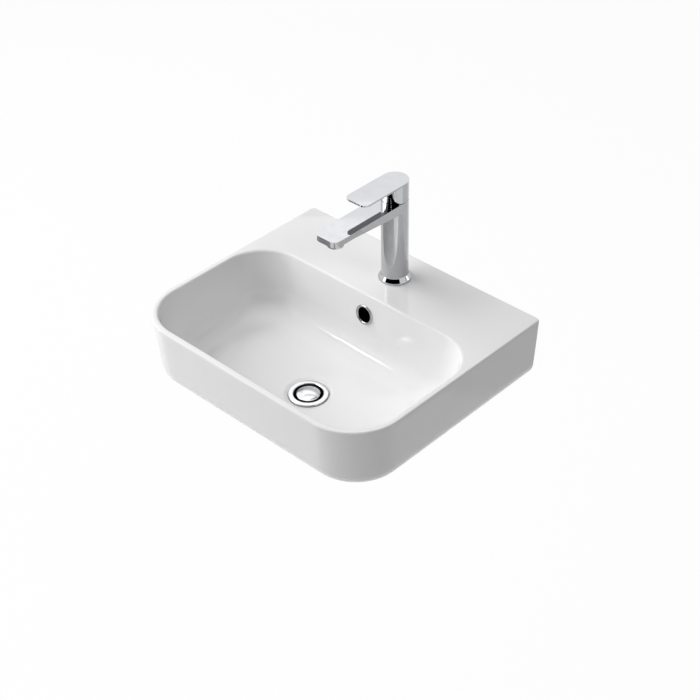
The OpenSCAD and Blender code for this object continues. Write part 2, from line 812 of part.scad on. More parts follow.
module waste_body() {
    open_r = flange_open_d / 2;
    flange_r = flange_d / 2;
    bore_r = tail_bore_d / 2;
    color("silver") at_waste() difference() {
        union() {
            rotate_extrude()
                polygon([[bore_r, -tail_end], [tail_r, -tail_end], [tail_r, -relief_end],
                    [relief_r, -relief_end], [relief_r, -relief_top], [tail_r, -relief_top],
                    [tail_r, -neck_end - 2.5],
                    [neck_outer_r, -neck_end], [flange_flat_r, -flange_under], [flange_r, -flange_under],
                    [flange_r, -flange_under + 0.9], [flange_r - 1.5, -flange_under + 1.9],
                    [flange_r - 4, -flange_top], [open_r + 1.6, -flange_top],
                    [open_r + 0.4, -flange_top - 0.5],
                    [open_r, -flange_top - 1.4], [cap_r + 0.5, -neck_end], [bore_r, -neck_end - 1.4]]);
            for (k = [0:3])
                rotate([0, 0, 45 + 90 * k])
                    translate([click_r + 1, -web_t / 2, -web_top - web_h])
                    cube([bore_r - click_r, web_t, web_h]);
            translate([0, 0, -web_top - web_h]) cylinder(r = click_r + 2, h = web_h);
        }
        translate([0, 0, -web_top - web_h - cut]) cylinder(r = click_r + 0.05, h = web_h + 2 * cut);
        for (k = [0:3])
            rotate([0, 0, 90 * k])
                translate([bore_r - 3, -slot_w / 2, -duct_floor + 1])
                cube([8, slot_w, duct_t - 2]);
    }
}

module flange_seal() {
    cone_slope = (neck_end - flange_under) / (flange_flat_r - neck_outer_r);
    low = flange_under + cone_slope * (flange_flat_r - seal_inner_r);
    color("dimgray") at_waste() rotate_extrude()
        polygon([[flange_d / 2 - 0.5, -flange_under], [flange_flat_r, -flange_under], [seal_inner_r, -low],
            [seal_inner_r, -low - flange_seal_t], [flange_flat_r, -seat_depth],
            [flange_d / 2 - 0.5, -seat_depth]]);
}

module tail_seal() {
    color("dimgray") at_waste() washer(boss_d / 2 - 8, tail_ring_r, tail_seal_t, -boss_depth - tail_seal_t);
}

module tail_washer() {
    z = -boss_depth - tail_seal_t - tail_washer_t;
    color("whitesmoke") at_waste() washer(boss_d / 2 - 9, tail_ring_r, tail_washer_t, z);
}

module tail_nut() {
    z = -boss_depth - tail_seal_t - tail_washer_t - tail_nut_t;
    color("goldenrod") at_waste() translate([0, 0, z]) difference() {
        union() {
            cylinder(r = tail_r + 8, h = tail_nut_t - 3, $fn = 6);
            translate([0, 0, tail_nut_t - 3]) cylinder(r = tail_r + 8, h = 3);
        }
        translate([0, 0, -cut]) cylinder(r = tail_r + thread_gap, h = tail_nut_t + 2 * cut);
    }
}

module plug_cap() {
    dome_r = (cap_r * cap_r + cap_crown * cap_crown) / (2 * cap_crown);
    thread_r = plug_stem_d / 2 + thread_gap;
    color("silver") at_waste() difference() {
        union() {
            translate([0, 0, -cap_under]) cylinder(r = cap_r, h = cap_edge_t);
            intersection() {
                translate([0, 0, cap_crown - dome_r - cap_top]) sphere(r = dome_r, $fn = 180);
                translate([0, 0, -cap_top]) cylinder(r = cap_r, h = cap_crown);
            }
        }
        translate([0, 0, -cap_under - cut]) cylinder(r = thread_r, h = cut + 1.6);
    }
}

module plug_seal() {
    color("dimgray") at_waste() washer(plug_seal_d / 2, plug_stem_d / 2 + 0.2, plug_seal_t, -throat_depth);
}

module plug_stem() {
    stem_end = plunger_top + 8;
    color("silver") at_waste() translate([0, 0, -stem_end])
        cylinder(d = plug_stem_d, h = stem_end - cap_under + 1.4);
}

module click_housing() {
    color("whitesmoke") at_waste() difference() {
        translate([0, 0, -click_top - click_h]) cylinder(r = click_r, h = click_h);
        translate([0, 0, -click_floor]) cylinder(r = click_bore_r, h = click_h);
    }
}

module click_plunger() {
    color("whitesmoke") at_waste() difference() {
        translate([0, 0, -plunger_end]) cylinder(r = plunger_r, h = plunger_h);
        translate([0, 0, -plunger_top - 8.2]) cylinder(r = plug_stem_d / 2 + thread_gap, h = 9);
    }
}

// The click spring: one unbroken tube wound round the waste's axis
spring_low = -click_floor + spring_wire / 2 + 0.05;
spring_high = -plunger_end - spring_wire / 2 - 0.05;
spring_steps = 8 * spring_curls;
function spring_centre(k) = [
    spring_r * cos(360 * k / 8),
    spring_r * sin(360 * k / 8),
    spring_low + (spring_high - spring_low) * k / spring_steps];
function spring_ring(k) = [
    for (s = [0:5])
        let (c = spring_centre(k), w = spring_wire / 2)
        [c[0] + w * cos(60 * s) * cos(360 * k / 8),
            c[1] + w * cos(60 * s) * sin(360 * k / 8),
            c[2] + w * sin(60 * s)]];
spring_gap = (spring_high - spring_low) / spring_curls - spring_wire;
echo(spring_least_gap = spring_gap);

module click_spring() {
    last = spring_steps;
    sides = [for (i = [0:last - 1], j = [0:5], half = [0, 1])
        half == 0
            ? [i * 6 + j, i * 6 + (j + 1) % 6, (i + 1) * 6 + (j + 1) % 6]
            : [i * 6 + j, (i + 1) * 6 + (j + 1) % 6, (i + 1) * 6 + j]];
    start = [for (j = [5:-1:0]) j];
    end = [for (j = [0:5]) last * 6 + j];
    color("lightsteelblue") at_waste()
        polyhedron([for (k = [0:last]) each spring_ring(k)], concat([start], sides, [end]));
}

basin_body();
overflow_ring();
mixer_body();
base_ring();
base_gasket();
aerator_housing();
aerator_insert();
aerator_seal();
cartridge_base();
port_seals();
fixed_disc();
moving_disc();
disc_carrier();
cartridge_housing();
spindle_guide();
lever_pin();
lever_stem();
cartridge_nut();
lever_handle();
grub_screw();
screw_cover();
fixing_stud();
rubber_horseshoe();
steel_horseshoe();
fixing_nut();
waste_body();
flange_seal();
tail_seal();
tail_washer();
tail_nut();
plug_cap();
plug_seal();
plug_stem();
click_housing();
click_plunger();
click_spring();
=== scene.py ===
import json
import math
import bmesh
import bpy
from mathutils import Matrix, Vector

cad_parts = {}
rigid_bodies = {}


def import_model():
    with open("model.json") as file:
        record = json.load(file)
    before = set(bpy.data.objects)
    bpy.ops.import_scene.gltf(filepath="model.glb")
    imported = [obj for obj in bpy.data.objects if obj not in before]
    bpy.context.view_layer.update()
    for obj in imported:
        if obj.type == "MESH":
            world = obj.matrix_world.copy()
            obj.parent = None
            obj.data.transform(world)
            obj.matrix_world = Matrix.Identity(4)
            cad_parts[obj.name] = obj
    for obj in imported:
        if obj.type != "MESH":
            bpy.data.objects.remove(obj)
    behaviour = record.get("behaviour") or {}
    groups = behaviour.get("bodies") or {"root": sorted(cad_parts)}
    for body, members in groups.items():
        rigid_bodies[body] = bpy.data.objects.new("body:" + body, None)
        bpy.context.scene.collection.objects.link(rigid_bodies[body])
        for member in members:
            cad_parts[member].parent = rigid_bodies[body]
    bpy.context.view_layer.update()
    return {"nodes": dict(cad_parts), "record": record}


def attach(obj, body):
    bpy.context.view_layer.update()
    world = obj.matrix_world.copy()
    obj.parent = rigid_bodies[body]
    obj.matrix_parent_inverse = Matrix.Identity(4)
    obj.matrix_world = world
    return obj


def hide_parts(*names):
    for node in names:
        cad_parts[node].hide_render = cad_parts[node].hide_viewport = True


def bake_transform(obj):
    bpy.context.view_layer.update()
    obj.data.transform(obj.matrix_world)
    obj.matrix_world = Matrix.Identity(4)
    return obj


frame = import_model()

mm = 0.001
rimZ = 0.080  # height of the rim above the wall studs


# Camera

camera = {
    "azimuth": 44.105,
    "elevation": 37.248,
    "roll": -1.249,
    "distance": 2.439816,
    "target": (0, -0.210, 0.040),
    "slideX": 0.026959,
    "slideY": -0.022209,
    "lens": 78.718,
}


def makeCamera(spec):
    az, el, roll = (math.radians(spec[key]) for key in ("azimuth", "elevation", "roll"))
    back = Vector((math.sin(az) * math.cos(el), -math.cos(az) * math.cos(el), math.sin(el)))
    right = (-back).cross(Vector((0, 0, 1))).normalized()
    up = right.cross(-back)
    sideways = right * math.cos(roll) + up * math.sin(roll)
    upwards = up * math.cos(roll) - right * math.sin(roll)
    place = Vector(spec["target"]) + back * spec["distance"] + sideways * spec["slideX"] + upwards * spec["slideY"]
    data = bpy.data.cameras.new("photoCamera")
    data.lens = spec["lens"]
    data.sensor_width = 36
    data.clip_end = 50
    obj = bpy.data.objects.new("photoCamera", data)
    bpy.context.scene.collection.objects.link(obj)
    obj.matrix_world = Matrix.Translation(place) @ Matrix((sideways, upwards, back)).transposed().to_4x4()
    bpy.context.scene.camera = obj


makeCamera(camera)
print("camera placed")


# Node trees: arithmetic on sockets, and one method for every other node

class Wire:
    def __init__(self, net, socket):
        self.net = net
        self.socket = socket

    def math(self, operation, first, second):
        return self.net.make("ShaderNodeMath", {"operation": operation}, {0: first, 1: second})

    def __add__(self, other):
        return self.math("ADD", self, other)

    def __sub__(self, other):
        return self.math("SUBTRACT", self, other)

    def __rsub__(self, other):
        return self.math("SUBTRACT", other, self)

    def __mul__(self, other):
        return self.math("MULTIPLY", self, other)

    def __truediv__(self, other):
        return self.math("DIVIDE", self, other)

    __radd__ = __add__
    __rmul__ = __mul__


class Net:
    def __init__(self, tree):
        self.tree = tree

    def make(self, kind, settings=None, values=None, out=0):
        node = self.tree.nodes.new(kind)
        for name, value in (settings or {}).items():
            if name == "stops":
                ramp = node.color_ramp
                while len(ramp.elements) < len(value):
                    ramp.elements.new(0.5)
                for element, (place, tone) in zip(ramp.elements, value):
                    element.position = place
                    element.color = (tone, tone, tone, 1)
            else:
                setattr(node, name, value)
        for key, value in (values or {}).items():
            if isinstance(value, Wire):
                self.tree.links.new(value.socket, node.inputs[key])
            elif value is not None:
                node.inputs[key].default_value = value
        return Wire(self, node.outputs[out]) if len(node.outputs) else None

    def other(self, wire, name):
        return Wire(self, wire.socket.node.outputs[name])

    def at(self, operation, first, second=None, third=None):
        return self.make("ShaderNodeMath", {"operation": operation}, {0: first, 1: second, 2: third})


# Materials

ceramicGlaze = {
    "white": (0.840, 0.839, 0.839),
    "thin": (0.811, 0.810, 0.810),
    "roughness": 0.07,
    "waves": 0.10,
    "cloudScale": 7,
    "rippleScale": 34,
    "pitScale": 900,
    "bare": (0.70, 0.67, 0.62),
    "bareRoughness": 0.62,
    "duct": (0.010, 0.010, 0.010),  # painted shade, near black, in the overflow's unglazed passage; then where that passage is
    "ductHalf": 0.0172,
    "ductMiddle": -0.1165,
    "ductReach": 0.0097,
    "ductTop": 0.0605,
    "ductLow": -0.073,
}
chromePlate = {
    "tone": (0.525, 0.530, 0.545),
    "smudge": (0.485, 0.490, 0.505),
    "roughness": 0.03,
    "smear": 0.05,
    "waves": 0.015,
    "cloudScale": 60,
    "fineScale": 260,
}
wastePlate = {**chromePlate, "tone": (0.640, 0.646, 0.655), "smudge": (0.610, 0.616, 0.626), "roughness": 0.07}
capPlate = {**wastePlate, "roughness": 0.12}
throatShades = {  # painted shade in the dark insides of the openings: centre, axis, radius and tone of the shade
    "wastePlate": ((0, -0.270, -0.0413), (0, 0, 1), 0.02435, (0.012, 0.012, 0.013)),
    "overflowPlate": ((0, -0.13627, 0.0425), (0, -0.99357, 0.11320), 0.0136, (0.010, 0.010, 0.010)),
}
simpleFinishes = {
    "black_rubber": {"tone": (0.028, 0.028, 0.030), "deep": (0.018, 0.018, 0.019), "roughness": 0.72,
                     "spread": 0.14, "grain": 900, "bump": 0.25, "metal": 0},
    "white_plastic": {"tone": (0.78, 0.78, 0.76), "deep": (0.72, 0.72, 0.70), "roughness": 0.42,
                      "spread": 0.12, "grain": 700, "bump": 0.10, "metal": 0},
    "grey_plastic": {"tone": (0.55, 0.56, 0.57), "deep": (0.50, 0.51, 0.52), "roughness": 0.22,
                     "spread": 0.08, "grain": 500, "bump": 0.05, "metal": 0},
    "disc_ceramic": {"tone": (0.82, 0.80, 0.74), "deep": (0.77, 0.75, 0.69), "roughness": 0.28,
                     "spread": 0.10, "grain": 1200, "bump": 0.06, "metal": 0},
    "plain_steel": {"tone": (0.54, 0.55, 0.56), "deep": (0.46, 0.47, 0.48), "roughness": 0.30,
                    "spread": 0.16, "grain": 400, "bump": 0.08, "metal": 1},
    "brass": {"tone": (0.72, 0.52, 0.25), "deep": (0.58, 0.40, 0.18), "roughness": 0.27,
              "spread": 0.18, "grain": 350, "bump": 0.08, "metal": 1},
}


def emptyMaterial(name):
    material = bpy.data.materials.new(name)
    material.use_nodes = True
    net = Net(material.node_tree)
    net.tree.nodes.clear()
    return material, net


def newMaterial(name):
    material, net = emptyMaterial(name)
    return material, net, net.make("ShaderNodeTexCoord", out="Object")


def finishMaterial(net, values):
    shader = net.make("ShaderNodeBsdfPrincipled", None, values)
    net.make("ShaderNodeOutputMaterial", None, {"Surface": shader})


def mixColour(net, factor, first, second):
    return net.make("ShaderNodeMix", {"data_type": "RGBA"},
                    {"Factor": factor, 6: (*first, 1) if isinstance(first, tuple) else first,
                     7: (*second, 1) if isinstance(second, tuple) else second}, out=2)


def makeGlaze(spec):
    material, net, spot = newMaterial("glazedCeramic")
    alongY = net.make("ShaderNodeSeparateXYZ", None, {0: spot}, out="Y")
    alongX, alongZ = net.other(alongY, "X"), net.other(alongY, "Z")
    cloud = net.make("ShaderNodeTexNoise", None, {"Vector": spot, "Scale": spec["cloudScale"], "Detail": 3,
                                                  "Roughness": 0.5})
    ripple = net.make("ShaderNodeTexNoise", None, {"Vector": spot, "Scale": spec["rippleScale"], "Detail": 1.5,
                                                   "Roughness": 0.4})
    pits = net.make("ShaderNodeTexNoise", None, {"Vector": spot, "Scale": spec["pitScale"], "Detail": 2})
    bare = net.at("GREATER_THAN", alongY, -0.0008)  # the ground face at the wall
    # painted shade: the ceramic inside the overflow's passage turns near black, where little light reaches
    duct = (net.at("COMPARE", alongX, 0, spec["ductHalf"])
            * net.at("COMPARE", alongY, spec["ductMiddle"], spec["ductReach"])
            * net.at("LESS_THAN", alongZ, spec["ductTop"]) * net.at("GREATER_THAN", alongZ, spec["ductLow"]))
    glazed = mixColour(net, cloud, spec["white"], spec["thin"])
    colour = mixColour(net, duct, mixColour(net, bare, glazed, spec["bare"]), spec["duct"])
    roughness = spec["roughness"] + cloud * 0.03 + bare * (spec["bareRoughness"] - spec["roughness"]) + duct * 0.9
    height = ripple * spec["waves"] + pits * bare * 0.05
    normal = net.make("ShaderNodeBump", None, {"Height": height, "Strength": 0.25, "Distance": 0.0006}, out="Normal")
    finishMaterial(net, {"Base Color": colour, "Roughness": roughness, "Normal": normal, "IOR": 1.5})
    return material


def makeChrome(name, spec):
    material, net, spot = newMaterial(name)
    cloud = net.make("ShaderNodeTexNoise", None, {"Vector": spot, "Scale": spec["cloudScale"], "Detail": 5,
                                                  "Roughness": 0.6})
    smear = net.make("ShaderNodeValToRGB", {"stops": [(0.45, 0), (0.75, 1)]}, {0: cloud})
    fine = net.make("ShaderNodeTexNoise", None, {"Vector": spot, "Scale": spec["fineScale"], "Detail": 2})
    colour = mixColour(net, smear, spec["tone"], spec["smudge"])
    roughness = spec["roughness"] + smear * spec["smear"]
    if name in throatShades:  # painted shade: dark below the opening's plane, within its radius
        centre, axis, radius, tone = throatShades[name]
        away = net.make("ShaderNodeVectorMath", {"operation": "SUBTRACT"}, {0: spot, 1: centre})
        along = net.make("ShaderNodeVectorMath", {"operation": "DOT_PRODUCT"}, {0: away, 1: axis}, out="Value")
        reach = net.make("ShaderNodeVectorMath", {"operation": "LENGTH"}, {0: away}, out="Value")
        paintedShade = net.at("LESS_THAN", reach * reach - along * along, radius ** 2) * net.at("LESS_THAN", along, 0)
        colour = mixColour(net, paintedShade, colour, tone)
        roughness = roughness + paintedShade * 0.6
    normal = net.make("ShaderNodeBump", None,
                      {"Height": fine, "Strength": spec["waves"], "Distance": 0.0002}, out="Normal")
    finishMaterial(net, {"Base Color": colour, "Roughness": roughness, "Metallic": 1.0, "Normal": normal})
    return material


def makeSimple(name, spec):
    material, net, spot = newMaterial(name)
    grain = net.make("ShaderNodeTexNoise", None, {"Vector": spot, "Scale": spec["grain"], "Detail": 3})
    cloud = net.make("ShaderNodeTexNoise", None, {"Vector": spot, "Scale": 45, "Detail": 4})
    colour = mixColour(net, cloud, spec["tone"], spec["deep"])
    roughness = spec["roughness"] + (cloud - 0.5) * spec["spread"]
    normal = net.make("ShaderNodeBump", None,
                      {"Height": grain, "Strength": spec["bump"], "Distance": 0.0002}, out="Normal")
    finishMaterial(net, {"Base Color": colour, "Roughness": roughness, "Metallic": float(spec["metal"]),
                         "Normal": normal})
    return material


finishes = {"glazed_ceramic": makeGlaze(ceramicGlaze), "chrome": makeChrome("chromePlate", chromePlate),
            "waste_chrome": makeChrome("wastePlate", wastePlate),
            "overflow_chrome": makeChrome("overflowPlate", chromePlate),
            "cap_chrome": makeChrome("capPlate", capPlate)}
for finishName, finishSpec in simpleFinishes.items():
    finishes[finishName] = makeSimple(finishName, finishSpec)
print("materials made")


# Geometry helpers

def linkObject(name, mesh):
    obj = bpy.data.objects.new(name, mesh)
    bpy.context.scene.collection.objects.link(obj)
    return obj


def linkWork(name, work):
    mesh = bpy.data.meshes.new(name)
    work.to_mesh(mesh)
    work.free()
    return linkObject(name, mesh)


def bake(obj):
    # turns an object's modifiers into a plain mesh
    graph = bpy.context.evaluated_depsgraph_get()
    mesh = bpy.data.meshes.new_from_object(obj.evaluated_get(graph))
    obj.modifiers.clear()
    obj.data = mesh
    return mesh


def cleanMesh(mesh, gap=1e-6, sharp=35):
    work = bmesh.new()
    work.from_mesh(mesh)
    bmesh.ops.remove_doubles(work, verts=work.verts, dist=gap)
    bmesh.ops.dissolve_degenerate(work, edges=work.edges, dist=gap)
    bmesh.ops.recalc_face_normals(work, faces=work.faces)
    work.to_mesh(mesh)
    work.free()
    mesh.shade_smooth()
    mesh.set_sharp_from_angle(angle=math.radians(sharp))


def finishPiece(obj, slot, body, *nodes, finish=None):
    obj.data.materials.clear()
    obj.data.materials.append(finishes[finish or slot])
    if nodes:
        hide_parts(*nodes)
    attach(obj, body)


def newTree(name, inputs):
    tree = bpy.data.node_groups.new(name, "GeometryNodeTree")
    tree.interface.new_socket("Geometry", in_out="INPUT", socket_type="NodeSocketGeometry")
    for label, kind, value in inputs:
        socket = tree.interface.new_socket(label, in_out="INPUT", socket_type=kind)
        if value is not None:
            socket.default_value = value
    tree.interface.new_socket("Geometry", in_out="OUTPUT", socket_type="NodeSocketGeometry")
    net = Net(tree)
    start = net.make("NodeGroupInput")
    return tree, net, start


def endTree(net, geometry, material):
    solid = net.make("GeometryNodeRealizeInstances", None, {0: geometry})
    painted = net.make("GeometryNodeSetMaterial", None, {"Geometry": solid, "Material": material})
    net.make("NodeGroupOutput", None, {0: painted})


def runTree(obj, tree, values):
    modifier = obj.modifiers.new(tree.name, "NODES")
    modifier.node_group = tree
    for item in tree.interface.items_tree:
        if item.item_type == "SOCKET" and item.in_out == "INPUT" and item.name in values:
            modifier[item.identifier] = values[item.name]
    return bake(obj)


def profileMesh(name, rows, labels):
    # one vertex for each row, with its numbers as named attributes
    mesh = bpy.data.meshes.new(name)
    mesh.from_pydata([(0, 0, 0)] * len(rows), [], [])
    for column, label in enumerate(labels):
        layer = mesh.attributes.new(label, "FLOAT", "POINT")
        for index, row in enumerate(rows):
            layer.data[index].value = row[column]
    return mesh


def rowReader(net, start, row):
    # reads a named number of the profile's row
    def sampled(label):
        value = net.make("GeometryNodeInputNamedAttribute", {"data_type": "FLOAT"}, {"Name": label})
        return net.make("GeometryNodeSampleIndex", {"data_type": "FLOAT", "domain": "POINT"},
                        {"Geometry": start, "Value": value, "Index": row})

    return sampled


# Ceramic basin: one closed skin whose rows come from a list of rounded rectangles

basin = {
    "width": 500,
    "depth": 420,
    "apronHeight": 120,
    "cornerR": 90,
    "wallCornerR": 5,
    "rimWidth": 12,
    "rimOuterR": 3,
    "rimInnerR": 4,
    "apronR": 35,
    "sideDraft": 3.5,
    "frontDraft": 5,
    "apronSlope": 8,
    "deckDepth": 132,
    "deckThick": 14,
    "wallThick": 12,
    "backThick": 14,
    "bowlBackR": 75,
    "bowlR": 50,
    "bowlDraft": 6.5,
    "bowlSlope": 10,
    "bowlDepth": 109,
    "floorDepth": 121.5,
    "wasteY": 270,
    "seatR": 35.5,
    "seatDepth": 124.5,
    "neckR": 21.8,
    "neckDepth": 130.9,
    "flatR": 30,
    "bossR": 42,
    "bossDepth": 165,
    "holeR": 22.95,
    "arcSteps": 40,
    "edgeSteps": 14,
}
rowLabels = ("half", "front", "back", "frontR", "backR", "depth", "round", "ringR", "share", "floor",
             "topDepth", "lowDepth", "slope", "lowSlope")


def draftedWall(draft, r, depth, slope, steps):
    # a leaning wall that turns with radius r into a floor of the given slope
    lean, tilt = math.radians(draft), math.radians(slope)
    arcDepth = depth - r * math.cos(tilt)
    inset = math.tan(lean) * (arcDepth + r * math.sin(lean)) + r * math.cos(lean)
    points = []
    for i in range(steps + 1):
        a = lean + (math.pi / 2 - tilt - lean) * i / steps
        points.append((inset - r * math.cos(a), arcDepth + r * math.sin(a)))
    return points


def basinRows(b):
    extra = math.tan(math.radians(b["frontDraft"])) - math.tan(math.radians(b["sideDraft"]))
    half = b["width"] / 2

    def outer(inset, depth):
        return [half - inset, -b["depth"] + inset + extra * depth, 0, max(b["cornerR"] - inset, 20),
                b["wallCornerR"], depth]

    def inner(inset, depth):
        return [half - b["rimWidth"] - inset, -b["depth"] + b["rimWidth"] + inset, -b["deckDepth"] - inset,
                b["cornerR"] - b["rimWidth"], b["bowlBackR"], depth]

    plain = [0, 1, 0, 0, 0, 0, 0, 0]
    apron = draftedWall(b["sideDraft"], b["apronR"], b["apronHeight"], b["apronSlope"], 20)
    bowl = draftedWall(b["bowlDraft"], b["bowlR"], b["bowlDepth"], b["bowlSlope"], 26)
    apronEnd, bowlEnd = outer(*apron[-1]), inner(*bowl[-1])
    bellyDepth = b["floorDepth"] + b["wallThick"] + 1
    rows = []

    def circle(base, radius, depth):
        rows.append(base[:5] + [depth, 1, radius] + [0] * 6)

    def span(base, radius, share, top, low, slope, lowSlope):
        rows.append(base[:5] + [top, share, radius, share, 1, top, low, slope, lowSlope])

    # under the boss and up its side
    circle(apronEnd, b["holeR"], b["bossDepth"])
    circle(apronEnd, b["bossR"] - 6, b["bossDepth"])
    for a in range(0, 91, 15):
        turn = math.radians(a)
        circle(apronEnd, b["bossR"] - 3 + 3 * math.sin(turn), b["bossDepth"] - 3 + 3 * math.cos(turn))
    circle(apronEnd, b["bossR"], b["bossDepth"] - 8)
    circle(apronEnd, b["bossR"], bellyDepth + 7)
    for a in range(0, 76, 15):
        turn = math.radians(a)
        circle(apronEnd, b["bossR"] + 5 - 5 * math.cos(turn), bellyDepth + 6 - 5 * math.sin(turn))
    # the belly, out to the apron
    for i in range(14, -1, -1):
        span(apronEnd, b["bossR"] + 5, i / 14, b["apronHeight"], bellyDepth, b["apronSlope"], 3)
    for point in reversed(apron[:-1]):
        rows.append(outer(*point) + plain)
    for depth in (60, 34, 14, 6):
        rows.append(outer(math.tan(math.radians(b["sideDraft"])) * (depth - b["rimOuterR"]), depth) + plain)
    for a in range(0, 91, 15):
        turn = math.radians(a)
        rows.append(outer(b["rimOuterR"] * (1 - math.cos(turn)), b["rimOuterR"] * (1 - math.sin(turn))) + plain)
    # across the deck and the rim, level
    outerTop, innerTop = outer(b["rimOuterR"], 0), inner(-b["rimInnerR"], 0)
    for share in (0.012, 0.05, 0.2, 0.5, 0.8, 0.95, 0.988):
        rows.append([p + (q - p) * share for p, q in zip(outerTop, innerTop)] + plain)
    for a in range(0, 91, 15):
        turn = math.radians(a)
        rows.append(inner(-b["rimInnerR"] * (1 - math.sin(turn)), b["rimInnerR"] * (1 - math.cos(turn))) + plain)
    for depth in (8, 20, 38, 54):
        rows.append(inner(math.tan(math.radians(b["bowlDraft"])) * depth, depth) + plain)
    for point in bowl[:-1]:
        rows.append(inner(*point) + plain)
    # the floor, then the soft dip of the seat round the waste
    lip = b["seatR"] + 6
    for i in range(19):
        span(bowlEnd, lip, i / 18, b["bowlDepth"], b["floorDepth"] - 0.6, b["bowlSlope"], 3)
    for share in (0.1, 0.25, 0.45, 0.65, 0.82, 0.93, 1):
        drop = share * share * (3 - 2 * share)
        circle(bowlEnd, lip - 7.6 * share, b["floorDepth"] - 0.6 + share * 0.5 + 1.7 * drop)
    circle(bowlEnd, b["seatR"] - 2.0, b["seatDepth"])
    circle(bowlEnd, b["flatR"], b["seatDepth"])
    share = (b["flatR"] - b["holeR"]) / (b["flatR"] - b["neckR"])
    circle(bowlEnd, b["holeR"], b["seatDepth"] + (b["neckDepth"] - b["seatDepth"]) * share)
    circle(apronEnd, b["holeR"], b["bossDepth"] - 20)
    circle(apronEnd, b["holeR"], b["bossDepth"])
    return [[value if label in ("round", "share", "floor", "slope", "lowSlope") else value * mm
             for label, value in zip(rowLabels, row)] for row in rows]


def ceramicTree(material):
    tree, net, start = newTree("ceramicSkin", [
        ("Rows", "NodeSocketInt", 10),
        ("Arc Steps", "NodeSocketInt", 40),
        ("Edge Steps", "NodeSocketInt", 14),
        ("Waste Distance", "NodeSocketFloat", 0.27)])
    rows, arcSteps, edgeSteps, wasteY = (net.other(start, label) for label in
                                         ("Rows", "Arc Steps", "Edge Steps", "Waste Distance"))
    around = 4 * (arcSteps + edgeSteps)
    grid = net.make("GeometryNodeMeshGrid", None, {"Vertices X": around + 1, "Vertices Y": rows})
    index = net.make("GeometryNodeInputIndex")
    turn = net.at("FLOOR", (index + 0.5) / rows)
    row = index - turn * rows
    turn = net.at("MODULO", turn, around)
    sampled = rowReader(net, start, row)

    def least(first, second):
        return net.at("MINIMUM", first, second)

    half, front, back, frontR, backR = (sampled(label) for label in rowLabels[:5])
    quarter = net.at("FLOOR", (turn + 0.5) / (arcSteps + edgeSteps))
    step = turn - quarter * (arcSteps + edgeSteps)
    arc = least(step, arcSteps) / arcSteps
    straight = net.at("MAXIMUM", step - arcSteps, 0) / edgeSteps
    straight = straight * straight * (3 - 2 * straight)  # closer together near the corners

    def corner(number, share):
        middle = (number + 0.5) * (math.pi / 2)
        angle = (number + share) * (math.pi / 2)
        sideX = net.at("SIGN", net.at("COSINE", middle))
        sideY = net.at("SIGN", net.at("SINE", middle))
        isBack = (sideY + 1) * 0.5
        radius = backR * isBack + frontR * (1 - isBack)
        centreY = (back - backR) * isBack + (front + frontR) * (1 - isBack)
        return ((half - radius) * sideX + radius * net.at("COSINE", angle),
                centreY + radius * net.at("SINE", angle))

    hereX, hereY = corner(quarter, arc)
    nextX, nextY = corner(quarter + 1, 0)
    flatX = hereX + (nextX - hereX) * straight
    flatY = hereY + (nextY - hereY) * straight
    awayY = flatY + wasteY
    reach = net.at("SQRT", flatX * flatX + awayY * awayY)
    ringR, blend = sampled("ringR"), sampled("round")
    x = flatX + (flatX / reach * ringR - flatX) * blend
    y = flatY + (awayY / reach * ringR - wasteY - flatY) * blend
    # the floor's rows leave the wall and meet the ring at the slopes that they are given
    share, floorRow = sampled("share"), sampled("floor")
    topDepth, lowDepth = sampled("topDepth"), sampled("lowDepth")
    run = reach - ringR
    leave = run * net.at("TANGENT", sampled("slope") * (math.pi / 180))
    meet = run * net.at("TANGENT", sampled("lowSlope") * (math.pi / 180))
    square = share * share
    cube = square * share
    curve = (topDepth * (2 * cube - 3 * square + 1) + leave * (cube - 2 * square + share)
             + lowDepth * (3 * square - 2 * cube) + meet * (cube - square))
    depth = sampled("depth")
    z = rimZ - (depth + (curve - depth) * floorRow)
    place = net.make("ShaderNodeCombineXYZ", None, {0: x, 1: y, 2: z})
    skin = net.make("GeometryNodeSetPosition", None, {"Geometry": grid, "Position": place})
    skin = net.make("GeometryNodeMergeByDistance", None, {"Geometry": skin, "Distance": 2e-6})
    endTree(net, skin, material)
    return tree


def roundedBox(name, low, high, r, segments=4):
    work = bmesh.new()
    bmesh.ops.create_cube(work, size=1)
    for vert in work.verts:
        for axis in range(3):
            vert.co[axis] = (low[axis] if vert.co[axis] < 0 else high[axis]) * mm
    if r:
        bmesh.ops.bevel(work, geom=work.edges[:], offset=r * mm, segments=segments, profile=0.5, affect="EDGES")
    return linkWork(name, work)


def roundBar(name, radius, start, end, segments=96):
    start, end = Vector(start) * mm, Vector(end) * mm
    work = bmesh.new()
    bmesh.ops.create_cone(work, cap_ends=True, segments=segments, radius1=radius * mm, radius2=radius * mm,
                          depth=(end - start).length)
    turn = (end - start).to_track_quat("Z", "Y").to_matrix().to_4x4()
    bmesh.ops.transform(work, matrix=Matrix.Translation((start + end) / 2) @ turn, verts=work.verts)
    return linkWork(name, work)


def ringSolid(name, rings):
    # a closed solid through rings of points
    count = len(rings[0])
    faces = [list(range(count))[::-1], [(len(rings) - 1) * count + j for j in range(count)]]
    for i in range(len(rings) - 1):
        for j in range(count):
            k = (j + 1) % count
            faces.append([i * count + j, i * count + k, (i + 1) * count + k, (i + 1) * count + j])
    mesh = bpy.data.meshes.new(name)
    mesh.from_pydata([Vector(p) * mm for ring in rings for p in ring], [], faces)
    cleanMesh(mesh)
    return linkObject(name, mesh)


def roundedRing(half, front, back, frontR, backR, z, steps=8):
    corners = [(half - frontR, front + frontR, frontR, -90), (half - backR, back - backR, backR, 0),
               (backR - half, back - backR, backR, 90), (frontR - half, front + frontR, frontR, 180)]
    points = []
    for cx, cy, r, start in corners:
        for i in range(steps + 1):
            a = math.radians(start + 90 * i / steps)
            points.append((cx + r * math.cos(a), cy + r * math.sin(a), z))
    return points


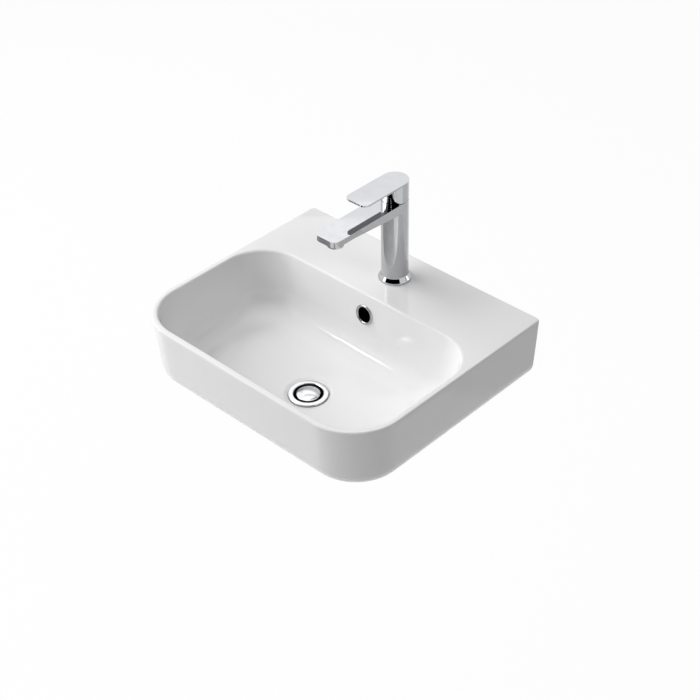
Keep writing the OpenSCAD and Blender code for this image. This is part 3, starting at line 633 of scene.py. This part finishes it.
def insetAt(depth, draft, r, end, slope):
    wall = draftedWall(draft, r, end, slope, 40)
    if depth <= wall[0][1]:
        return math.tan(math.radians(draft)) * depth
    for (a, da), (b, db) in zip(wall, wall[1:]):
        if depth <= db:
            return a + (b - a) * (depth - da) / (db - da)
    return wall[-1][0]


def deckHollow(b):
    rings = []
    depths = [b["deckThick"] + 8 * (1 - math.cos(math.radians(a))) for a in range(0, 91, 15)]
    soft = [8 * (1 - math.sin(math.radians(a))) for a in range(0, 91, 15)]
    for depth, shrink in list(zip(depths, soft)) + [(d, 0) for d in range(30, 122, 4)] + [(175, 0)]:
        level = min(depth, 120)
        side = insetAt(level, b["sideDraft"], b["apronR"], b["apronHeight"], b["apronSlope"])
        bowlSide = insetAt(min(level, b["bowlDepth"]), b["bowlDraft"], b["bowlR"], b["bowlDepth"], b["bowlSlope"])
        rings.append(roundedRing(b["width"] / 2 - b["wallThick"] - side - shrink,
                                 -b["deckDepth"] - bowlSide + b["wallThick"] + shrink,
                                 -b["backThick"] - shrink, 8, 8, rimZ / mm - depth))
    return ringSolid("deckHollow", rings)


overflow = {"depth": 37.5, "holeR": 15.2, "ringR": 17.6, "boreR": 13.25, "ductWidth": 34, "ductThick": 14,
            "ductWall": 8, "ductFront": 121, "ductFloor": 152, "ductTop": 20, "chamberR": 28}
fixing = {"studSpan": 280, "studHoleR": 7, "cutoutHalf": 95, "cutoutDepth": 55, "tapHoleR": 17.5, "tapY": 63}


def overflowFrame():
    # the overflow's centre on the bowl's back wall, and the direction out of that wall
    lean = math.radians(basin["bowlDraft"])
    y = -basin["deckDepth"] - math.tan(lean) * overflow["depth"]
    return Vector((0, y, rimZ / mm - overflow["depth"])), Vector((0, -math.cos(lean), math.sin(lean)))


def cutWith(obj, cutters, operation="DIFFERENCE"):
    for cutter in cutters:
        modifier = obj.modifiers.new(cutter.name, "BOOLEAN")
        modifier.operation = operation
        modifier.solver = "EXACT"
        modifier.object = cutter
    bake(obj)
    for cutter in cutters:
        bpy.data.objects.remove(cutter)


def makeBasin(b, o, f):
    rows = basinRows(b)
    shell = linkObject("ceramic_basin", profileMesh("ceramicRows", rows, rowLabels))
    runTree(shell, ceramicTree(finishes["glazed_ceramic"]),
            {"Rows": len(rows), "Arc Steps": b["arcSteps"], "Edge Steps": b["edgeSteps"],
             "Waste Distance": b["wasteY"] * mm})
    cleanMesh(shell.data)
    top = rimZ / mm
    cutWith(shell, [deckHollow(b)])
    halfBlock = o["ductWidth"] / 2 + o["ductWall"]
    front, back = -o["ductFront"], -o["ductFront"] + o["ductThick"]
    low = top - o["ductFloor"]
    chamberY = -b["wasteY"] + o["chamberR"]
    upright = roundedBox("ductUpright", (-halfBlock, front - o["ductWall"], low - o["ductWall"]),
                         (halfBlock, back + o["ductWall"], top - b["deckThick"] / 2), 3)
    level = roundedBox("ductLevel", (-halfBlock, chamberY, low - o["ductWall"]),
                       (halfBlock, back, low + o["ductThick"] + o["ductWall"]), 3)
    cutWith(shell, [upright, level], "UNION")
    centre, out = overflowFrame()
    cutters = [
        roundedBox("ductShaft", (-o["ductWidth"] / 2, front, low), (o["ductWidth"] / 2, back, top - o["ductTop"]), 0),
        roundedBox("ductRun", (-o["ductWidth"] / 2, -b["wasteY"] - 1, low),
                   (o["ductWidth"] / 2, back - 0.01, low + o["ductThick"]), 0),
        roundBar("chamber", o["chamberR"], (0, -b["wasteY"], low), (0, -b["wasteY"], low + o["ductThick"])),
        roundBar("overflowHole", o["holeR"], centre - out * 22, centre + out * 10),
        roundBar("tapHole", f["tapHoleR"], (0, -f["tapY"], top - b["deckThick"] - 4), (0, -f["tapY"], top + 4)),
        roundedBox("pipeGap", (-f["cutoutHalf"], -b["backThick"] - 6, top - 180),
                   (f["cutoutHalf"], 6, top - f["cutoutDepth"]), 0)]
    for side in (-1, 1):
        x = side * f["studSpan"] / 2
        cutters.append(roundBar("studHole", f["studHoleR"], (x, -b["backThick"] - 4, 0), (x, 4, 0), 64))
    cutWith(shell, cutters)
    cleanMesh(shell.data)
    finishPiece(shell, "glazed_ceramic", "fixed", "basin_body")


makeBasin(basin, overflow, fixing)
print("basin made")


# Turned chrome pieces: a profile swept round its axis

def turnedTree(material):
    tree, net, start = newTree("turnedPiece", [
        ("Rows", "NodeSocketInt", 10),
        ("Segments", "NodeSocketInt", 96)])
    rows, segments = net.other(start, "Rows"), net.other(start, "Segments")
    grid = net.make("GeometryNodeMeshGrid", None, {"Vertices X": segments + 1, "Vertices Y": rows})
    index = net.make("GeometryNodeInputIndex")
    turn = net.at("FLOOR", (index + 0.5) / rows)
    row = index - turn * rows
    sampled = rowReader(net, start, row)
    angle = net.at("MODULO", turn, segments) * (2 * math.pi) / segments
    radius, height = sampled("radius"), sampled("height")
    place = net.make("ShaderNodeCombineXYZ", None,
                     {0: radius * net.at("COSINE", angle), 1: radius * net.at("SINE", angle), 2: height})
    skin = net.make("GeometryNodeSetPosition", None, {"Geometry": grid, "Position": place})
    skin = net.make("GeometryNodeMergeByDistance", None, {"Geometry": skin, "Distance": 1e-6})
    endTree(net, skin, material)
    return tree


turned = {}  # one tree for each finish


def softened(points, r, steps=4):
    # rounds each corner of a closed profile; a point may carry its own radius
    out = []
    count = len(points)
    for i, point in enumerate(points):
        corner = Vector(point[:2])
        own = point[2] if len(point) > 2 else r
        before = Vector(points[i - 1][:2]) - corner
        after = Vector(points[(i + 1) % count][:2]) - corner
        cut = min(own, before.length * 0.45, after.length * 0.45)
        if cut < 0.02:
            out.append(tuple(corner))
            continue
        first, last = corner + before.normalized() * cut, corner + after.normalized() * cut
        for k in range(steps + 1):
            t = k / steps
            out.append(tuple(first * (1 - t) ** 2 + corner * 2 * t * (1 - t) + last * t * t))
    return out


def turnedProfile(name, points, matrix, segments=96):
    # a plain turned solid, for adding to another piece
    work = bmesh.new()
    verts = [work.verts.new((max(r, 0) * mm, 0, z * mm)) for r, z in points]
    edges = [work.edges.new((verts[i - 1], verts[i])) for i in range(len(verts))]
    bmesh.ops.spin(work, geom=verts + edges, cent=(0, 0, 0), axis=(0, 0, 1), angle=2 * math.pi, steps=segments,
                   use_merge=True)
    bmesh.ops.remove_doubles(work, verts=work.verts, dist=1e-6)
    bmesh.ops.recalc_face_normals(work, faces=work.faces)
    obj = linkWork(name, work)
    obj.data.transform(matrix)
    return obj


def turnedPiece(name, points, slot, body, nodes, matrix, segments=128, soft=0.4, finish=None, cutters=(), extras=()):
    if slot not in turned:
        turned[slot] = turnedTree(finishes[slot])
    rows = softened(points, soft)
    rows = [(max(r, 0) * mm, z * mm) for r, z in rows]
    rows.append(rows[0])
    obj = linkObject(name, profileMesh(name + "Rows", rows, ("radius", "height")))
    runTree(obj, turned[slot], {"Rows": len(rows), "Segments": segments})
    obj.data.transform(matrix)
    cleanMesh(obj.data)
    for pieces, operation in ((extras, "UNION"), (cutters, "DIFFERENCE")):
        if pieces:
            cutWith(obj, pieces, operation)
            cleanMesh(obj.data)
    finishPiece(obj, slot, body, *nodes, finish=finish)
    return obj


def upAt(x, y, z=0):
    return Matrix.Translation(Vector((x, y, z)) * mm + Vector((0, 0, rimZ)))


waste = {"y": 270, "flangeR": 33, "openR": 24.4, "under": 123, "top": 120, "neckR": 21.8, "neckEnd": 129.4,
         "flatR": 30, "tailR": 20.95, "boreR": 18.5, "tailEnd": 205, "capR": 19.4, "capTop": 121.2,
         "capUnder": 123.2, "crown": 3.5, "reliefTop": 182.5, "reliefEnd": 184,
         "webTop": 135.7, "webHigh": 6, "webThick": 3, "hubR": 10.5, "hubBore": 8.55, "slotWide": 14,
         "slotTop": 139, "slotLow": 151}


def threadRows(radius, root, start, end, pitch):
    # sawtooth rows of a screw thread, from the start depth to the end depth
    rows = []
    depth = start
    while depth + pitch <= end + 1e-6:
        rows += [(root, -depth, 0), (radius, -(depth + pitch * 0.35), 0), (radius, -(depth + pitch * 0.65), 0)]
        depth += pitch
    rows.append((root, -end, 0))
    return rows


def makeWaste(w):
    axis = upAt(0, -w["y"])
    thread = threadRows(w["tailR"], w["tailR"] - 0.9, w["reliefEnd"], w["tailEnd"] - 1, 2.1)
    profile = ([(w["boreR"], -w["tailEnd"], 0.3), (w["tailR"] - 1, -w["tailEnd"], 0.3)] + thread[::-1]
               + [(w["tailR"] - 0.8, -w["reliefEnd"], 0), (w["tailR"] - 0.8, -w["reliefTop"], 0),
                  (w["tailR"], -w["reliefTop"] + 0.4, 0), (w["tailR"], -w["neckEnd"] - 2.5, 0),
                  (w["neckR"], -w["neckEnd"], 0), (w["flatR"], -w["under"], 0), (w["flangeR"], -w["under"], 0.2),
                  (w["flangeR"], -w["top"] - 1.1, 0.3), (w["flangeR"] - 0.9, -w["top"] - 0.12, 0.5),
                  (w["openR"] + 1.0, -w["top"] + 0.02, 0.6),
                  (w["openR"], -w["top"] - 0.9, 0.5), (w["openR"], -w["top"] - 1.4, 0.2),
                  (w["capR"] + 0.5, -w["neckEnd"], 0.4),
                  (w["boreR"], -w["neckEnd"] - 1.4, 0.4)])
    deep = rimZ / mm
    webLow = w["webTop"] + w["webHigh"]
    hub = turnedProfile("wasteHub", [(w["hubBore"], -webLow), (w["hubR"], -webLow), (w["hubR"], -w["webTop"]),
                                     (w["hubBore"], -w["webTop"])], axis)
    webs, slots = [], []
    toAxis = Matrix.Translation((0, -w["y"] * mm, 0))
    for k in range(4):  # the webs stand between the slots
        web = roundedBox("wasteWeb", (w["hubR"] - 0.5, -w["webThick"] / 2, deep - webLow),
                         (w["boreR"] + 0.6, w["webThick"] / 2, deep - w["webTop"]), 0.5)
        slot = roundedBox("wasteSlot", (w["boreR"] - 3, -w["slotWide"] / 2, deep - w["slotLow"]),
                          (w["boreR"] + 5, w["slotWide"] / 2, deep - w["slotTop"]), 0)
        for piece, turn in ((web, 45), (slot, 0)):
            piece.data.transform(toAxis @ Matrix.Rotation(math.radians(turn + 90 * k), 4, "Z"))
        webs.append(web)
        slots.append(slot)
    turnedPiece("waste_flange", profile, "chrome", "fixed", ["waste_body"], axis, 160, finish="waste_chrome",
                extras=webs + [hub], cutters=slots)
    dome = [(0, -w["capUnder"], 0), (w["capR"] - 0.5, -w["capUnder"], 0.2), (w["capR"], -w["capUnder"] + 0.5, 0.3),
            (w["capR"], -w["capTop"] - 0.1, 0.7)]
    radius = (w["capR"] ** 2 + w["crown"] ** 2) / (2 * w["crown"])
    for i in range(18, -1, -1):
        r = (w["capR"] - 0.9) * i / 18
        dome.append((r, -w["capTop"] + w["crown"] - radius + math.sqrt(radius ** 2 - r ** 2), 0))
    turnedPiece("plug_dome", dome, "chrome", "plug", ["plug_cap"], axis, 160, finish="cap_chrome")


makeWaste(waste)


def makeOverflowRing(o):
    centre, out = overflowFrame()
    turn = out.to_track_quat("Z", "X").to_matrix().to_4x4()
    profile = [(o["boreR"], -11, 0.3), (o["holeR"] - 0.3, -11, 0.3), (o["holeR"] - 0.3, 0.05, 0),
               (o["ringR"], 0.05, 0.2), (o["ringR"], 1.6, 0.5), (o["ringR"] - 1.1, 2.6, 0.7),
               (o["boreR"] + 0.9, 2.2, 0.6), (o["boreR"], 1.0, 0.4)]
    turnedPiece("overflow_trim", profile, "chrome", "fixed", ["overflow_ring"],
                Matrix.Translation(centre * mm) @ turn, 128, finish="overflow_chrome")


makeOverflowRing(overflow)
print("waste and overflow made")


# Mixer

mixer = {"y": 63, "columnR": 22.5, "top": 150.5, "reach": 160, "cornerR": 11, "tipThick": 10, "rootThick": 16.5,
         "flatBack": 116.8, "bottom": 1.05, "edge": 0.7, "cavityR": 14.2, "seat": 106.7, "nutR": 15.6,
         "nutSeat": 143.5, "portX": 7.5, "portFront": 4, "portR": 4.5, "portDeep": 13, "studBack": 9, "studR": 4.1,
         "studDeep": 15,
         "ringR": 27.5, "ringHeight": 11, "aeratorBack": 24, "aeratorR": 13.2, "aeratorDrop": 13.5}
lever = {"y": 63, "columnR": 22.5, "under": 181.5, "top": 184.5, "reach": 92.5, "cornerR": 11, "bottom": 151,
         "relief": 19, "reliefStart": 1.5, "cavityR": 18, "cavityTop": 178, "edge": 0.6, "bossR": 8, "bossBack": 3,
         "bossBottom": 160.5, "socket": 6.2, "socketTop": 176.2, "grubZ": 168.5, "grubR": 2.6, "coverR": 3.3}


def atMixer(x, back, high):
    return x, back - mixer["y"], rimZ / mm + high


def columnCutters(m):
    # the room for the cartridge and its nut, the fixing stud's hole and the hoses' bores
    bars = [roundBar("cartridgeSeat", m["cavityR"], atMixer(0, 0, m["seat"]), atMixer(0, 0, m["top"] + 2)),
            roundBar("nutSeat", m["nutR"], atMixer(0, 0, m["nutSeat"]), atMixer(0, 0, m["top"] + 3)),
            roundBar("studHole", m["studR"], atMixer(0, m["studBack"], -1),
                     atMixer(0, m["studBack"], m["studDeep"]), 48)]
    for side in (-1, 1):
        x = side * m["portX"]
        bars.append(roundBar("inletBore", m["portR"], atMixer(x, -m["portFront"], -1),
                             atMixer(x, -m["portFront"], m["portDeep"]), 48))
    return bars


def leverExtras(v):
    # the boss that the stem enters, and the block that carries the grub screw
    back = v["bossBack"]
    return [roundBar("leverBoss", v["bossR"], atMixer(0, back, v["bossBottom"]),
                     atMixer(0, back, v["cavityTop"] + 1)),
            roundedBox("grubBlock", atMixer(-5, back, v["grubZ"] - 5),
                       atMixer(5, v["columnR"] - 1.5, v["grubZ"] + 5), 0)]


def leverCutters(v):
    # the stem's square socket, the grub screw's hole and the seat of its cover
    back, half = v["bossBack"], v["socket"] / 2
    return [roundedBox("stemSocket", atMixer(-half, back - half, v["bossBottom"] - 1),
                       atMixer(half, back + half, v["socketTop"]), 0),
            roundBar("grubHole", v["grubR"], atMixer(0, back, v["grubZ"]),
                     atMixer(0, v["columnR"] + 2, v["grubZ"]), 48),
            roundBar("coverSeat", v["coverR"], atMixer(0, v["columnR"] - 3.1, v["grubZ"]),
                     atMixer(0, v["columnR"] + 2, v["grubZ"]), 48)]


def armOnColumn(name, spec, underAt, bottomAt, inner, cutters, extras=()):
    # a flat arm with rounded front corners that grows out of a round column
    r, reach, c, top = spec["columnR"], spec["reach"], spec["cornerR"], spec["top"]
    acrossSteps, alongSteps, downSteps = 96, 24, 2
    work = bmesh.new()

    def quads(lines):
        # a patch of quads through lists of points
        verts = [[work.verts.new(Vector(p) * mm) for p in line] for line in lines]
        for a, b in zip(verts, verts[1:]):
            for i in range(len(a) - 1):
                work.faces.new((a[i], a[i + 1], b[i + 1], b[i]))

    def frontEdge(x):
        over = abs(x) - (r - c)
        return -reach if over <= 0 else -reach + c - math.sqrt(max(0, c * c - over * over))

    xs = [r * math.sin(math.radians(-90 + 180 * i / acrossSteps)) for i in range(acrossSteps + 1)]
    fronts = [frontEdge(x) for x in xs]
    circles = [-math.sqrt(max(0, r * r - x * x)) for x in xs]
    grid = [[(x, f + (q - f) * j / alongSteps) for x, f, q in zip(xs, fronts, circles)]
            for j in range(alongSteps + 1)]
    rear = [(r * math.cos(math.radians(180 * i / acrossSteps)), r * math.sin(math.radians(180 * i / acrossSteps)))
            for i in range(acrossSteps + 1)]
    outline = grid[0] + [row[-1] for row in grid[1:-1]] + rear + [row[0] for row in reversed(grid[1:-1])]
    work.faces.new([work.verts.new(Vector((x, y, top)) * mm) for x, y in outline])
    for edge in (grid[0] + [row[-1] for row in grid[1:]], [row[0] for row in reversed(grid)]):
        quads([[(x, y, top) for x, y in edge], [(x, y, underAt(y)) for x, y in edge]])
    quads([[(x, y, top) for x, y in rear], [(x, y, underAt(0)) for x, y in rear]])
    quads([[(x, y, underAt(y)) for x, y in row] for row in grid])
    front = [(x, y) for x, y in zip(xs, circles)]
    for side in (front, rear):
        starts = [underAt(min(y, 0)) for _, y in side]
        ends = [bottomAt(y) for _, y in side]
        quads([[(x, y, a + (b - a) * k / downSteps) for (x, y), a, b in zip(side, starts, ends)]
               for k in range(downSteps + 1)])
        innerR, innerTop = inner
        ring = [(x * innerR / r, y * innerR / r) for x, y in side]
        lows = [bottomAt(y) for _, y in ring]
        quads([[(x, y, z) for (x, y), z in zip(side, ends)], [(x, y, z) for (x, y), z in zip(ring, lows)],
               [(x, y, innerTop) for x, y in ring], [(0, 0, innerTop)] * len(ring)])
    bmesh.ops.remove_doubles(work, verts=work.verts, dist=1e-6)
    bmesh.ops.dissolve_degenerate(work, edges=work.edges, dist=1e-6)
    bmesh.ops.recalc_face_normals(work, faces=work.faces)
    obj = linkWork(name, work)
    obj.data.transform(upAt(0, -spec["y"]))
    obj.data.shade_smooth()
    bevel = obj.modifiers.new("softEdges", "BEVEL")
    bevel.width = spec["edge"] * mm
    bevel.segments = 3
    bevel.limit_method = "ANGLE"
    bevel.angle_limit = math.radians(40)
    bake(obj)
    if extras:
        cutWith(obj, extras, "UNION")
    cutWith(obj, cutters)
    weighted = obj.modifiers.new("evenNormals", "WEIGHTED_NORMAL")
    weighted.weight = 100
    weighted.keep_sharp = True
    bake(obj)
    return obj


def spoutUnder(y):
    tip, root = mixer["top"] - mixer["tipThick"], mixer["top"] - mixer["rootThick"]
    share = (-y - mixer["columnR"]) / (mixer["flatBack"] - mixer["columnR"])
    return root + (tip - root) * min(max(share, 0), 1)


def leverBottom(y):
    return lever["bottom"] + max(0, y - lever["reliefStart"]) * math.tan(math.radians(lever["relief"]))


finishPiece(armOnColumn("mixer_column", mixer, spoutUnder, lambda y: mixer["bottom"], (11, mixer["bottom"]),
                        columnCutters(mixer)), "chrome", "fixed", "mixer_body")
finishPiece(armOnColumn("lever_plate", lever, lambda y: lever["under"], leverBottom,
                        (lever["cavityR"], lever["cavityTop"]), leverCutters(lever), leverExtras(lever)),
            "chrome", "lever", "lever_handle")


def makeMixerRings(m):
    inner = m["columnR"] + 0.1
    foot = [(inner, 0, 0.1), (m["ringR"], 0, 0.3), (m["ringR"], 2.9, 0.5), (m["ringR"] - 0.4, 3.7, 0.4),
            (inner + 0.6, m["ringHeight"] - 1.1, 0.5), (inner + 0.2, m["ringHeight"] - 0.1, 0.1),
            (inner, m["ringHeight"] - 0.1, 0.1)]
    turnedPiece("mixer_foot", foot, "chrome", "fixed", ["base_ring"], upAt(0, -m["y"]), 160)
    under = m["top"] - m["tipThick"]
    low = under - m["aeratorDrop"]
    r = m["aeratorR"]
    nose = [(9.4, low, 0.3), (r - 1.2, low, 0.3), (r, low + 1.2, 0.4), (r, low + 7.4, 0.2), (r - 0.5, low + 7.8, 0.1),
            (r - 0.5, low + 8.3, 0.1), (r, low + 8.7, 0.2), (r, under - 0.05, 0), (10.4, under - 0.05, 0),
            (10.4, low + 1.2, 0.2), (9.4, low + 1.2, 0.1)]
    turnedPiece("aerator_sleeve", nose, "chrome", "fixed", ["aerator_housing"],
                upAt(0, -m["y"] - m["reach"] + m["aeratorBack"]), 128)


makeMixerRings(mixer)
print("mixer made")


# CAD pieces that keep their shape take their finish from the record

slotOf = {row["node"]: row["material_slot"] for row in frame["record"]["subparts"]}
for nodeName, nodeObject in frame["nodes"].items():
    nodeObject.data.materials.clear()
    nodeObject.data.materials.append(finishes[slotOf[nodeName]])


def makeClickCoil(node):
    # a smooth-shaded copy of the click spring's coil, which stands in for the CAD node
    coil = linkObject("click_coil", frame["nodes"][node].data.copy())
    coil.data.shade_smooth()
    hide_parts(node)
    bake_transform(coil)


makeClickCoil("click_spring")
print("click coil made")


# Floor, lamps and surroundings

studio = {
    "floorSize": 24,
    "floorZ": -0.77,
    "floorTone": 0.86,
    "floorGlow": 0.96,
    "sky": 0.06,
    "lamps": [  # azimuth from the front towards +X, elevation, distance, width, height, brightness, what it does
        ("keyLamp", -56, 44, 3.2, 2.8, 2.4, 2.2, "soft"),
        ("keyMirror", -50, 38, 3.2, 2.55, 2.8, 2.3, "metal"),
        ("frontLamp", -25, 38, 3.2, 2.4, 2.0, 1.4, "soft"),
        ("sideLamp", -88, 38, 3.2, 2.4, 2.0, 0.5, "all"),
        ("backLamp", 224, 38, 3.0, 1.7, 1.5, 0.34, "all"),
        ("backHighLamp", 224, 42.0, 3.0, 1.7, 0.8, 0.22, "all"),
        ("topLamp", 225, 82, 2.8, 2.2, 2.2, 0.8, "all"),
        ("lowLeftLamp", -82, 20, 3.2, 2.4, 1.2, 5.5, "soft"),
        ("lowFrontLamp", -20, 10, 3.2, 2.4, 1.2, 2.0, "soft"),
        ("stripLamp", -46, 38, 3.0, 0.16, 0.9, 9.0, "metal"),
        ("sparkLamp", -45.5, 37.8, 3.0, 0.07, 0.34, 34.0, "ceramic"),
        ("rightLamp", 95, 35, 3.2, 1.6, 1.6, 2.7, "soft"),
        ("rearRightLamp", 140, 14, 3.2, 0.8, 0.8, 1.5, "metal"),
    ],
    "lampTarget": (0, -0.15, 0.10),
    "flag": {"from": -24, "to": 76, "radius": 3.7, "low": 1.30, "high": 6.5, "tone": 0.002},
    "cards": [  # centre, width, height, azimuth that it faces from, tone: seen by polished metal alone
        ("leftFlag", (-3.35, 0.44, 0.20), 0.30, 0.90, -100, 0.002),
        ("rightFlag", (2.69, 1.93, 1.15), 0.25, 0.80, 128, 0.002),
        ("rearLeftCard", (-0.215, 0.100, 0.030), 0.24, 0.20, 224, 0.41),
        ("rearCard", (0.55, 0.55, -0.30), 1.0, 0.75, 140, 0.74),
    ],
    "darkCard": 0.1,
}


def whereSeen(net):
    # 1 for what the camera, a mirror or a glass looks at, 0 for light on the object
    rays = net.make("ShaderNodeLightPath")
    return net.at("MINIMUM", rays + net.other(rays, "Is Glossy Ray") + net.other(rays, "Is Transmission Ray"), 1)


def hideFromView(obj):
    obj.visible_camera = obj.visible_diffuse = obj.visible_shadow = obj.visible_transmission = False


def outwards(azimuth, elevation):
    az, el = math.radians(azimuth), math.radians(elevation)
    return Vector((math.sin(az) * math.cos(el), -math.cos(az) * math.cos(el), math.sin(el)))


def makeFloorAndSky(s):
    bpy.ops.mesh.primitive_plane_add(size=s["floorSize"], location=(0, 0, s["floorZ"]))
    floor = bpy.context.object
    floor.name = "paleFloor"
    material, net = emptyMaterial("paleFloor")
    plain = net.make("ShaderNodeBsdfDiffuse", None, {"Color": (*[s["floorTone"]] * 3, 1)})
    white = net.make("ShaderNodeEmission", None, {"Color": (1, 1, 1, 1), "Strength": 1.0})
    both = net.make("ShaderNodeMixShader", None, {0: whereSeen(net) * s["floorGlow"], 1: plain, 2: white})
    net.make("ShaderNodeOutputMaterial", None, {"Surface": both})
    floor.data.materials.append(material)
    world = bpy.data.worlds.new("studioSky")
    bpy.context.scene.world = world
    world.use_nodes = True
    net = Net(world.node_tree)
    net.tree.nodes.clear()
    strength = s["sky"] + whereSeen(net) * (1 - s["sky"])
    sky = net.make("ShaderNodeBackground", None, {"Color": (1, 1, 1, 1), "Strength": strength})
    net.make("ShaderNodeOutputWorld", None, {"Surface": sky})


def makeReceivers():
    # the pieces that a lamp of one group lights
    receivers = {group: bpy.data.collections.new(group + "Receivers") for group in ("metal", "ceramic")}
    for obj in list(bpy.context.scene.collection.objects):
        if obj.type == "MESH" and obj.data.materials and obj.name != "paleFloor":
            glazed = obj.data.materials[0].name == "glazedCeramic"
            receivers["ceramic" if glazed else "metal"].objects.link(obj)
    return receivers


def makeLamps(s, receivers):
    for name, azimuth, elevation, distance, width, height, brightness, group in s["lamps"]:
        away = outwards(azimuth, elevation)
        data = bpy.data.lights.new(name, "AREA")
        data.shape = "RECTANGLE"
        data.size = width
        data.size_y = height
        data.energy = brightness * math.pi * width * height
        lamp = bpy.data.objects.new(name, data)
        bpy.context.scene.collection.objects.link(lamp)
        lamp.location = Vector(s["lampTarget"]) + away * distance
        lamp.rotation_euler = (-away).to_track_quat("-Z", "Y").to_euler()
        lamp.visible_glossy = group != "soft"
        if group in receivers:
            lamp.light_linking.receiver_collection = receivers[group]


def makeCurtain(flag, steps=24):
    # a black curtain behind the camera, which only the polished metal shows
    points, faces = [], []
    for i in range(steps + 1):
        a = math.radians(flag["from"] + (flag["to"] - flag["from"]) * i / steps)
        for z in (flag["low"], flag["high"]):
            points.append((flag["radius"] * math.sin(a), -flag["radius"] * math.cos(a), z))
    for i in range(steps):
        faces.append((2 * i, 2 * i + 2, 2 * i + 3, 2 * i + 1))
    mesh = bpy.data.meshes.new("blackCurtain")
    mesh.from_pydata(points, [], faces)
    cloth, net = emptyMaterial("curtainCloth")
    finishMaterial(net, {"Base Color": (*[flag["tone"]] * 3, 1), "Specular IOR Level": 0})
    mesh.materials.append(cloth)
    hideFromView(linkObject("blackCurtain", mesh))


def cardMaterial(name, tone, darkest):
    material, net = emptyMaterial(name)
    glow = net.make("ShaderNodeEmission", None, {"Color": (tone, tone, tone, 1), "Strength": 1.0})
    if tone < darkest:  # a dark card shows in the first mirror only
        depth = net.make("ShaderNodeLightPath", out="Glossy Depth")
        clear = net.make("ShaderNodeBsdfTransparent")
        glow = net.make("ShaderNodeMixShader", None, {0: net.at("GREATER_THAN", depth, 1.5), 1: glow, 2: clear})
    net.make("ShaderNodeOutputMaterial", None, {"Surface": glow})
    return material


def makeCards(s):
    for name, centre, width, height, azimuth, tone in s["cards"]:
        az = math.radians(azimuth)
        middle = Vector(centre)
        across = Vector((math.cos(az), math.sin(az), 0)) * width / 2
        up = Vector((0, 0, height / 2))
        corners = [middle - across - up, middle + across - up, middle + across + up, middle - across + up]
        mesh = bpy.data.meshes.new(name)
        mesh.from_pydata(corners, [], [(0, 1, 2, 3)])
        mesh.materials.append(cardMaterial(name, tone, s["darkCard"]))
        hideFromView(linkObject(name, mesh))


makeFloorAndSky(studio)
makeLamps(studio, makeReceivers())
makeCurtain(studio["flag"])
makeCards(studio)
bpy.context.scene.view_settings.view_transform = "Standard"
print("studio made")
